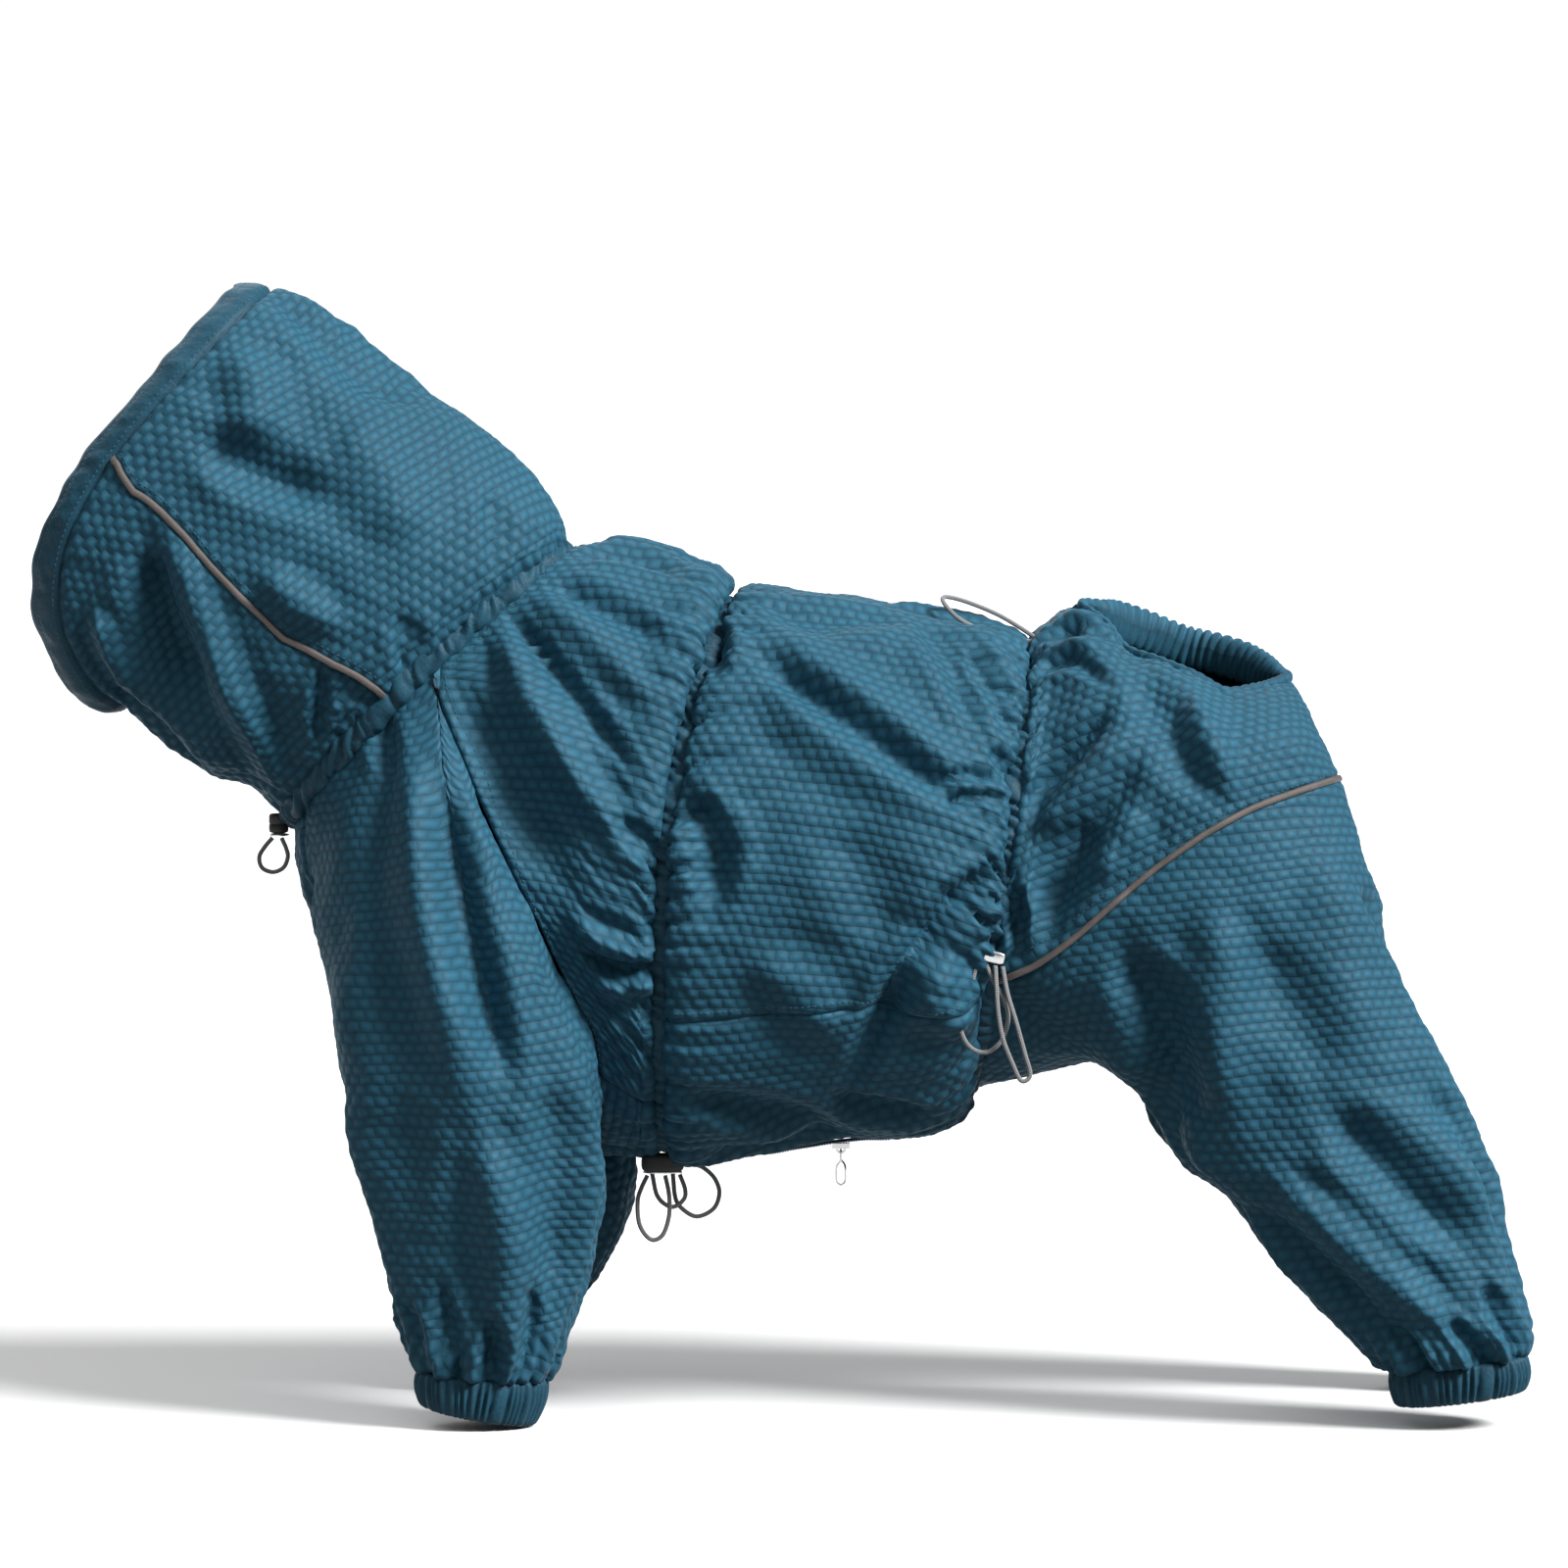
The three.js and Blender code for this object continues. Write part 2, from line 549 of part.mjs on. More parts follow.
// One section of the rump: a curve from the top edge out and down to the hip seam.
function rumpRow(station, side) {
  const top = at(station.x, station.half * side, side < 0 ? station.leftZ : station.rightZ);
  const hip = at(station.hipX, station.hipHalf * side, station.hipZ);
  const drop = top.z - hip.z;
  const shoulder = at(mix(top.x, hip.x, 0.4), hip.y * 1.02, top.z - 0.15 * drop);
  return (u) => new THREE.QuadraticBezierCurve3(top, shoulder, hip).getPoint(u);
}

function rumpForm(side) {
  const first = (u) => {
    const point = hipRing(HIP_SEAM_TURN * u);
    point.y *= -side;
    return point;
  };
  return skin([first, ...RUMP_STATIONS.map((station) => rumpRow(station, side))]);
}

const rumpForms = { left: rumpForm(-1), right: rumpForm(1) };
const hindRound = 2 * HIP_STATIONS;
const crotchCurve = new THREE.CatmullRomCurve3(
  CROTCH_SEAM.map(({ x, z }) => at(x, 0, z)).reverse(), false, 'catmullrom', 0.5);

// The top loop of a left hind sleeve: hip seam from front to rear, crotch seam forward, then up the waist.
function hipLoop(u) {
  const step = wrap(u - 0.75) * hindRound;
  if (step <= HIP_STATIONS) return rumpForms.left(1, step / HIP_STATIONS);
  if (step <= HIP_STATIONS + CROTCH_STEPS) return crotchCurve.getPoint((step - HIP_STATIONS) / CROTCH_STEPS);
  return hipRing(mix(180, HIP_SEAM_TURN, (step - HIP_STATIONS - CROTCH_STEPS) / WAIST_STEPS));
}

const hindRings = HIND_SLEEVE_RINGS.map((row) => sleeveRing(row));
const hindRows = [hipLoop, swelled(hipLoop, hindRings[0], HIP_BULGE), ...hindRings];

// The way out of the cloth on the left hip seam, square to the seam and to the cloth above and below it.
function hipSeamOutward(share) {
  const form = rumpForms.left;
  const along = slope(form, 1, share).normalize();
  const u = 0.75 + share * HIP_STATIONS / hindRound;
  const above = form(1, share).sub(form(1 - 1 / RUMP_STEPS, share)).normalize();
  const below = hindRows[1](u).sub(form(1, share)).normalize();
  return above.add(below).cross(along).normalize();
}

function rumpVertex(side, u, v) {
  const form = side < 0 ? rumpForms.left : rumpForms.right;
  if (u === 1) {
    const outward = hipSeamOutward(v);
    outward.y *= -side;
    return stitchPoint(form(u, v), outward);
  }
  const outward = normalOf(form, Math.max(u, 0.01), v, 0.008, side < 0 ? 1 : -1);
  if (v === 1) outward.setY(0).normalize();
  return stitchPoint(form(u, v), outward);
}

function makeRump() {
  const lip = (j) => {
    if (j < 2) return HALF_SEAM;
    if (j === HIP_STATIONS) return TAIL_BAND_RADIUS + 1.5;
    if (j <= 4) return TAIL_BAND_RADIUS + 2.6;
    return TAIL_BAND_RADIUS + (j < 7 ? 0.5 : 1.1);
  };
  for (const [name, side] of [['rump_left', -1], ['rump_right', 1]]) {
    const cloth = grid(RUMP_STEPS, HIP_STATIONS, (u, v) => rumpVertex(side, u, v));
    add(name, wall(cloth, { clear: { first: lip }, side }), CLOTH);
  }
}

function makeRumpPiping() {
  const vertices = Array.from({ length: HIP_STATIONS }, (_, j) => rumpVertex(-1, 1, j / HIP_STATIONS));
  const left = strip(vertices, PIPING);
  add('rump_piping_left', left, REFLECTIVE);
  add('rump_piping_right', mirrored(left), REFLECTIVE);
}

function makeTailBand() {
  const lips = RUMP_STATIONS.slice(1);
  const left = lips.map((s) => at(s.x, -s.half, s.leftZ));
  const right = lips.slice(1, -1).reverse().map((s) => at(s.x, s.half, s.rightZ));
  const loop = [...left, ...right];
  const stations = loop.map((place, i) => {
    const before = loop[(i + loop.length - 1) % loop.length];
    const after = loop[(i + 1) % loop.length];
    const along = after.clone().sub(before).normalize();
    const across = along.clone().cross(at(0, 0, 1)).normalize();
    return { place: place.clone(), across, out: across.clone().cross(along).normalize() };
  });
  const section = roundSection(TAIL_BAND_RADIUS, TAIL_BAND_RADIUS, 6);
  add('tail_band', sweep(stations, section, true), CASING_CLOTH);
}

function makeHindSleeves() {
  const surface = skin(hindRows);
  const seamOutward = (u) => {
    const step = Math.round(wrap(u - 0.75) * hindRound);
    if (step <= HIP_STATIONS) return hipSeamOutward(step / HIP_STATIONS);
    if (step <= HIP_STATIONS + CROTCH_STEPS) {
      const along = crotchCurve.getTangent((step - HIP_STATIONS) / CROTCH_STEPS);
      return at(-along.z, 0, along.x);
    }
    return normalOf(surface, u, 0, 0.004, -1);
  };
  const sleeve = Array.from({ length: hindRound }, (_, i) => {
    const u = 0.75 + i / hindRound;
    return hindRows.map((row, j) => {
      if (j === 0) return stitchPoint(row(u), seamOutward(u));
      const v = j / (hindRows.length - 1);
      return stitchPoint(surface(u, v), normalOf(surface, u, v, 0.004, -1));
    });
  });
  const left = wall(sleeve, { closed: true, clear: { end: 0 }, side: -1 });
  add('hind_sleeve_left', left, CLOTH);
  add('hind_sleeve_right', mirrored(left), CLOTH);
}

// ---- cuffs: gathered bands -------------------------------------------------------------------------------------
function cuff(rings) {
  const gathers = 12;
  const scallop = 0.9;
  const rows = rings.map((row) => sleeveRing(row));
  const middles = rows.map((row) => row(0).add(row(0.5)).multiplyScalar(0.5));
  const band = Array.from({ length: 2 * gathers }, (_, i) => rows.map((row, j) => {
    const point = row(i / (2 * gathers));
    const outward = point.clone().sub(middles[j]).setZ(0).normalize();
    return { point: point.addScaledVector(outward, i % 2 === 0 ? 0 : -scallop), outward };
  }));
  return wall(band, { closed: true, clear: { start: 0, end: 0 } });
}

function makeCuffs() {
  const front = cuff(FRONT_CUFF_RINGS);
  add('front_cuff_left', front, CASING_CLOTH);
  add('front_cuff_right', mirrored(front).translate(RIGHT_STEPS.at(-1), 0, 0), CASING_CLOTH);
  const hind = cuff(HIND_CUFF_RINGS);
  add('hind_cuff_left', hind, CASING_CLOTH);
  add('hind_cuff_right', mirrored(hind), CASING_CLOTH);
}

// ---- ruched casings ----------------------------------------------------------------------------------------------
// A casing is a puckered tube on a ring of the suit: every other station is drawn in.
function casing(ringForm, alongOf, { half, deep, ruffle, segments }, fromTurn, toTurn) {
  const closed = toTurn - fromTurn === 360;
  const stations = Array.from({ length: closed ? segments : segments + 1 }, (_, i) => {
    const turn = mix(fromTurn, toTurn, i / segments);
    const round = ringForm(turn + TURN_STEP).sub(ringForm(turn - TURN_STEP)).normalize();
    const along = alongOf(turn);
    const out = round.clone().cross(along).normalize();
    const place = ringForm(turn).addScaledVector(out, -WALL / 2);
    return { place, across: along, out, scale: i % 2 === 0 ? 1 : 1 - 2 * ruffle };
  });
  return sweep(stations, roundSection(half * (1 + ruffle), deep * (1 + ruffle), 6), closed);
}

function makeCasings() {
  const rearward = (form, v) => (turn) => slope(form, turn, v).normalize();
  const neckAlong = (turn) => rearward(CHEST_FORM, 0)(turn).sub(rearward(HOOD_FORM, 0)(turn)).normalize();
  const chestAlong = (turn) => rearward(CHEST_FORM, 1)(turn).add(rearward(BODY_FORM, 0)(turn)).normalize();
  const waistAlong = () => at(1, 0, 0);
  const neck = casing(ring(CHEST_RINGS[0]), neckAlong, NECK_CASING, -180, 180);
  add('neck_casing', neck, CASING_CLOTH);
  const chest = casing(ring(BODY_RINGS[0]), chestAlong, CHEST_CASING, -172, 172);
  add('chest_casing', chest, CASING_CLOTH);
  const waist = casing(ring(BODY_RINGS[BODY_RINGS.length - 1]), waistAlong, WAIST_CASING, -180, 180);
  add('waist_casing', waist, CASING_CLOTH);
}

// ---- belly zip -----------------------------------------------------------------------------------------------------
const SLIDER = { x: -12, length: 10, width: 4, height: 3, bridge: 3.4, gap: 0.8 };
const PULL = { wire: 1.2, half: 2.6, length: 20, twistFrom: 5, twistTo: 11 };

function zipVertices() {
  const under = 180;
  const vertices = [];
  for (let i = 0; i <= 5; i += 1) vertices.push(chestVertex(under, mix(0.62, 0.97, i / 5)));
  for (let i = 0; i <= 7; i += 1) vertices.push(bodyVertex(under, mix(0.02, 0.62, i / 7)));
  return vertices;
}

function makeZip() {
  const vertices = zipVertices();
  add('zip_tape', strip(vertices, ZIP), ZIP_TAPE);

  const last = vertices.findIndex(({ point }) => point.x > SLIDER.x);
  const a = vertices[last - 1].point;
  const b = vertices[last].point;
  const clothZ = mix(a.z, b.z, (SLIDER.x - a.x) / (b.x - a.x));
  const top = clothZ - ZIP.lift - ZIP.thick - SLIDER.gap;
  // The bridge of the slider is an arch along the zip, open from side to side for the pull's wire.
  const outline = new THREE.Shape();
  const halfLength = SLIDER.length / 2;
  outline.moveTo(-halfLength, 0);
  outline.lineTo(halfLength, 0);
  outline.lineTo(halfLength, -SLIDER.height);
  outline.lineTo(halfLength - 2, -SLIDER.height);
  outline.absarc(0, -SLIDER.height, halfLength - 2, 0, Math.PI, true);
  outline.lineTo(-halfLength, -SLIDER.height);
  outline.closePath();
  const arch = new THREE.Path();
  arch.absarc(0, -SLIDER.height, SLIDER.bridge / 2, Math.PI, 0, false);
  arch.closePath();
  outline.holes.push(arch);
  const slider = new THREE.ExtrudeGeometry(outline, { depth: SLIDER.width, bevelEnabled: false, curveSegments: 6 });
  slider.rotateX(Math.PI / 2);
  slider.translate(SLIDER.x, SLIDER.width / 2, top);
  add('zip_slider', slider, METAL);

  // The wire pull: a bar through the bridge, then a long loop that turns to show its face to the side.
  const pivot = at(SLIDER.x, 0, top - SLIDER.height - 0.8);
  const halfBar = SLIDER.width / 2 + 1.3;
  const twisted = (down) => THREE.MathUtils.smoothstep(down, PULL.twistFrom, PULL.twistTo);
  const turnAt = (down) => mix(Math.PI / 2, 0.25, twisted(down));
  const rail = (sign, down, half) => at(
    pivot.x + sign * half * Math.cos(turnAt(down)),
    pivot.y + sign * half * Math.sin(turnAt(down)),
    pivot.z - down,
  );
  const drops = [0, 2.5, 5, 6.5, 8, 9.5, 11, 14, 16.5, 18.8];
  const halfAt = (down) => (down > 17 ? PULL.half * 0.7 : mix(halfBar, PULL.half, twisted(down)));
  const loop = [
    ...drops.map((down) => rail(1, down, halfAt(down))),
    at(pivot.x, pivot.y, pivot.z - PULL.length),
    ...drops.slice().reverse().map((down) => rail(-1, down, halfAt(down))),
  ];
  const stations = loop.map((place, i) => {
    const before = loop[(i + loop.length - 1) % loop.length];
    const after = loop[(i + 1) % loop.length];
    const along = after.clone().sub(before).normalize();
    const down = Math.max(pivot.z - place.z, 0);
    const face = at(-Math.sin(turnAt(down)), Math.cos(turnAt(down)), 0);
    const across = along.clone().cross(face).normalize();
    return { place, across, out: across.clone().cross(along).normalize() };
  });
  add('zip_pull', sweep(stations, roundSection(PULL.wire / 2, PULL.wire / 2, 8), true), METAL);
}

// ---- cord locks and cords ---------------------------------------------------------------------------------------------
function barrel(radius, height, edge) {
  const profile = [
    [0, -height / 2], [radius - edge, -height / 2], [radius, -height / 2 + edge],
    [radius, height / 2 - edge], [radius - edge, height / 2], [0, height / 2],
  ].map(([r, y]) => new THREE.Vector2(r, y));
  return new THREE.LatheGeometry(profile, 20).rotateX(Math.PI / 2);
}

function roundedBlock(length, height, depth, radius) {
  const x = length / 2 - radius;
  const y = height / 2 - radius;
  const outline = new THREE.Shape();
  outline.absarc(x, y, radius, 0, Math.PI / 2);
  outline.absarc(-x, y, radius, Math.PI / 2, Math.PI);
  outline.absarc(-x, -y, radius, Math.PI, 1.5 * Math.PI);
  outline.absarc(x, -y, radius, 1.5 * Math.PI, 2 * Math.PI);
  const block = new THREE.ExtrudeGeometry(outline, { depth, bevelEnabled: false, curveSegments: 5 });
  return block.translate(0, 0, -depth / 2).rotateX(Math.PI / 2);
}

const NECK_LOCK = { x: -327.5, z: -124, radius: 5.5, height: 11 };
const CHEST_LOCK = { x: -112, y: -15, z: -313.8, length: 24, height: 11, depth: 10 };
const WAIST_LOCK = { x: 69, y: -91, z: -191, length: 17, height: 7, depth: 5, tilt: 0.25 };

function makeLocks() {
  add('neck_lock', barrel(NECK_LOCK.radius, NECK_LOCK.height, 1.2), BLACK_PLASTIC)
    .position.set(NECK_LOCK.x, 0, NECK_LOCK.z);
  add('neck_lock_ring', barrel(NECK_LOCK.radius + 0.4, 1.4, 0.4), METAL)
    .position.set(NECK_LOCK.x, 0, NECK_LOCK.z - NECK_LOCK.height / 2 - 1);
  add('chest_lock', roundedBlock(CHEST_LOCK.length, CHEST_LOCK.height, CHEST_LOCK.depth, 4), BLACK_PLASTIC)
    .position.set(CHEST_LOCK.x, CHEST_LOCK.y, CHEST_LOCK.z);
  const waist = add('waist_lock', roundedBlock(WAIST_LOCK.length, WAIST_LOCK.height, WAIST_LOCK.depth, 2), METAL);
  waist.position.set(WAIST_LOCK.x, WAIST_LOCK.y, WAIST_LOCK.z);
  waist.rotation.set(0, WAIST_LOCK.tilt, 0);
}

function cord(points, steps, diameter = CORD_DIAMETER) {
  const path = new THREE.CatmullRomCurve3(points.map(([x, y, z]) => at(x, y, z)));
  const section = roundSection(diameter / 2, diameter / 2, CORD_SIDES).map(([a, b]) => new THREE.Vector2(a, b));
  return new THREE.ExtrudeGeometry(new THREE.Shape(section), { steps, extrudePath: path, bevelEnabled: false });
}

const CORD_ROUTES = {
  neck_cord: [
    [-331, 0, -132.2], [-335.5, 0, -137.5], [-338.5, 0, -143], [-337, 0, -149], [-331, 0, -151.5],
    [-325, 0, -149], [-322.5, 0, -143], [-323.5, 0, -138], [-326, 0, -132.2],
  ],
  chest_cord_front: [
    [-120.5, -17, -320.6], [-124, -18, -328], [-126, -18, -335], [-125.4, -18, -346.5], [-122, -18, -353.7],
    [-117.2, -18, -357], [-111.7, -18, -353.7], [-108.4, -18, -343.2], [-108.4, -18, -331.7], [-110.6, -17, -320.6],
  ],
  chest_cord_middle: [
    [-118, -12.5, -320.1], [-115.5, -13, -331.7], [-111.1, -13, -337.2], [-105.6, -13, -338.8],
    [-100.1, -13, -334.4], [-99.5, -13, -328.9], [-102.5, -12.5, -320.6],
  ],
  chest_cord_rear: [
    [-106.4, -9.5, -320.6], [-105, -8, -334.4], [-101.2, -8, -340.5], [-93, -8, -344.9], [-83.6, -8, -340.5],
    [-80.3, -8, -331.7], [-83, -8, -323.4], [-89, -9, -317.5], [-94, -10, -315.5], [-99, -11, -315],
  ],
  waist_cord_front: [
    [66.8, -91, -195.3], [70.5, -91.6, -204], [77, -93, -216], [79, -93.5, -226], [75, -94, -238], [67, -94, -244],
    [58, -94, -241], [53, -94, -231], [54.5, -93, -219], [58.5, -92, -208], [62.2, -91, -194],
  ],
  waist_cord_rear: [
    [76, -91.5, -197], [78.5, -95, -211], [83, -98, -226], [88, -99, -244], [91, -99, -256], [86, -99, -259],
    [81, -99, -249], [76, -99, -236], [73.5, -98, -222], [72.5, -96, -208], [72, -92, -196.6],
  ],
  back_cord: [
    [97, -2, -20], [88, -2, -14], [76, -2, -7], [62, -3, -1], [51, -5, 2.5], [45, -9, 3], [46, -13, -1],
    [54, -15, -9], [66, -15, -15], [80, -13, -19], [90, -11, -21], [97, -10, -22],
  ],
};

function makeCords() {
  for (const [name, route] of Object.entries(CORD_ROUTES)) {
    add(name, cord(route, 3 * route.length), CORD);
  }
}

makeHood();
makeHoodPiping();
makeChest();
makeFrontSleeves();
makeBody();
makeRump();
makeRumpPiping();
makeTailBand();
makeHindSleeves();
makeCuffs();
makeCasings();
makeZip();
makeLocks();
makeCords();

export default suit;
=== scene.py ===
"""Looks of a hooded rain suit for a dog: puckered panels, ruched casings, piping, cords, fastenings.

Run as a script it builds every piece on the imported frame. Lengths inside the shape functions are
millimetres and are turned into metres when a mesh is written. +X runs towards the tail, -Y is the
dog's left side and +Z is up.
"""

import math

import bpy
import numpy as np
from bpy.props import FloatProperty, FloatVectorProperty, PointerProperty
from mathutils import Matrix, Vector


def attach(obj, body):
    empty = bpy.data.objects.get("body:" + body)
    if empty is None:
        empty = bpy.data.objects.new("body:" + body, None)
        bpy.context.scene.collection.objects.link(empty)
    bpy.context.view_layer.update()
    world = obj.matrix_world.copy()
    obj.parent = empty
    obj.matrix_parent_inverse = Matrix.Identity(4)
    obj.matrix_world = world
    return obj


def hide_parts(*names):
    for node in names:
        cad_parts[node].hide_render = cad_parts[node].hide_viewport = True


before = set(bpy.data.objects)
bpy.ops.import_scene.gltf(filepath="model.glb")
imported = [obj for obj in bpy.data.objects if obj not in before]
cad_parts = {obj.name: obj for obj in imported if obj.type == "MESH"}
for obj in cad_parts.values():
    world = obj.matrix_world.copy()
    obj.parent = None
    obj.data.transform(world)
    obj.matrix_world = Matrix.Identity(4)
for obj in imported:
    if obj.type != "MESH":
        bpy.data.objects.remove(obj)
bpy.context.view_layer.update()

bl_info = {
    "name": "Dog rain suit",
    "version": (1, 0, 0),
    "blender": (4, 2, 0),
    "location": "View3D > Sidebar > Rain suit",
    "description": "Builds a hooded four-legged rain suit with ruched casings, piping and drawcords",
    "category": "Object",
}

MM = 0.001
FLOOR_Z = -453.2  # height of the ground under the cuffs
FLOOR_REACH = 30000  # radius of the floor's disc
NECK_CLEARANCE = 6.3  # from a ring to the panels beside its casing
CHEST_CLEARANCE = 7.22
WAIST_CLEARANCE = 5.11
END_TUCK = 0.03  # share of its length by which a panel runs on under a casing
GRID_SPACING = 1.65  # distance between the grid lines of a panel
UPWARDS = np.array((0, 0, 1.0))

# Rings: top x, z and low x, z on the middle plane, half breadth, forward bow of the sides and how far
# the bow is held to the low half.
HOOD_RINGS = (
    (-169, 27, -319, -119, 62, 8, 0),
    (-182, 63, -340, -102, 74, 11, 0.1),
    (-220, 103, -366, -96, 80, 18, 0.2),
    (-267, 129, -391, -74, 78, 27, 0.35),
    (-302, 161, -407, -60, 73, 37, 0.5),
    (-327, 172, -419, -62, 69, 45, 0.6),
    (-340, 179, -426, -62, 65, 49, 0.65),
)
CHEST_RINGS = (
    (-169, 27, -319, -119, 62, 8, 0),
    (-157, 32, -314, -160, 74, 4, 0),
    (-132, 31, -283, -215, 86, 0, 0),
    (-105, 23, -234, -266, 95, -4, 0),
    (-84, 14, -170, -299, 99, 10, 0),
    (-74, -2, -111, -306, 94, 18, -0.35),
)
BODY_RINGS = (
    (-74, -2, -111, -306, 94, 18, -0.35),
    (-63, 3, -99, -311, 102, 15, -0.3),
    (-44, 4, -66, -309, 107, 10, 0),
    (0, 1.6, -16, -301, 110, 4, 0),
    (44, -8, 25, -300, 107, 0, 0),
    (74, -17, 47, -289, 97, 0, 0),
    (93, -31, 58, -273, 85, 0, 0),
)
HIP_RING = (95.5, -28, 61.5, -272, 86, 0, 0)
RAGLAN_SEAM = ((-234, -37), (-224, -75), (-209, -112), (-192, -149), (-176, -181), (-152, -228), (-146, -258))
HOOD_SEAM = ((-272, -42), (-292, -31), (-319, -18), (-346, 9), (-374, 40), (-401, 63), (-413, 82))
BIB_NECK_TURN = 150
BIB_EDGE = ((152, 0.78), (159, 0.6), (157, 0.33), (BIB_NECK_TURN, 0))
SIDE_SEAM_TURN = 118
HIP_SEAM_TURN = 118
CHEST_SIDE_TURN = 142
BRIM_WIDTH = 13
BRIM_STAND = 8.5  # how far the soft band stands beyond its seam allowance
BRIM_ROLL = 6.5  # how far its edge rolls inwards
# Rump stations from the waist to the tail seam: top x, half breadth, left z, right z, hip x, half breadth, z.
RUMP_STATIONS = (
    (107, 0, -13, -13, 94, 88, -197),
    (123, 0, -2, -2, 115, 96, -181),
    (136, 15, -12, -4, 135, 100, -163),
    (146, 31, -25, -6, 152, 103, -148),
    (163, 44, -31, -12, 172, 104, -133),
    (183, 50, -39, -20, 192, 103, -120),
    (200, 46, -48, -24, 212, 98, -110),
    (217, 33, -47, -29, 232, 88, -103),
    (228, 20, -45, -35, 250, 75, -98),
    (235, 9, -43, -41, 264, 46, -96),
    (238, 0, -42, -42, 258, 0, -103),
)
CROTCH_SEAM = ((65, -272), (90, -250), (130, -236), (176, -212), (215, -179), (242, -140), (258, -103))
# Sleeve rings: front x, z, rear x, z, outer and inner side, and how much lower the inner side hangs.
FRONT_SLEEVE_RINGS = (
    (-286, -243, -145, -246, 126, 42, 58),
    (-281, -281, -143, -281, 124, 39, 40),
    (-274, -314, -143, -316, 120, 39, 22),
    (-266, -357, -148, -357, 114, 41, 8),
    (-258, -389, -158, -389, 107, 43, 2),
    (-249, -410, -170, -413, 102, 46, 0),
    (-245, -422, -177, -426, 99, 48, 0),
)
HIND_SLEEVE_RINGS = (
    (135, -250, 294, -181, 109, 10, 12),
    (157, -269, 310, -221, 111, 14, 9),
    (172, -303, 329, -265, 112, 20, 6),
    (200, -328, 345, -306, 113, 26, 0),
    (226, -362, 358, -349, 110, 34, 0),
    (258, -394, 364, -386, 106, 42, 0),
    (284, -411, 366, -404, 103, 46, 0),
    (293, -419, 364, -412, 101, 48, 0),
)
FRONT_CUFF_RINGS = (
    (-247.3, -422.7, -174.6, -427.2, 101, 46, 0),
    (-247.3, -432.6, -176.6, -439.4, 102, 45, 0),
    (-244.3, -442.4, -182.4, -453.2, 99, 48, 0),
)
HIND_CUFF_RINGS = (
    (291.9, -419.7, 366.5, -413, 102, 47, 0),
    (291.9, -431.6, 368, -423.7, 103, 46, 0),
    (294.8, -442.4, 365.5, -433.5, 100, 49, 0),
)
RIGHT_STEPS = (10, 12, 14, 12, 6, -3, -6)  # how much further back the right front sleeve's rings are

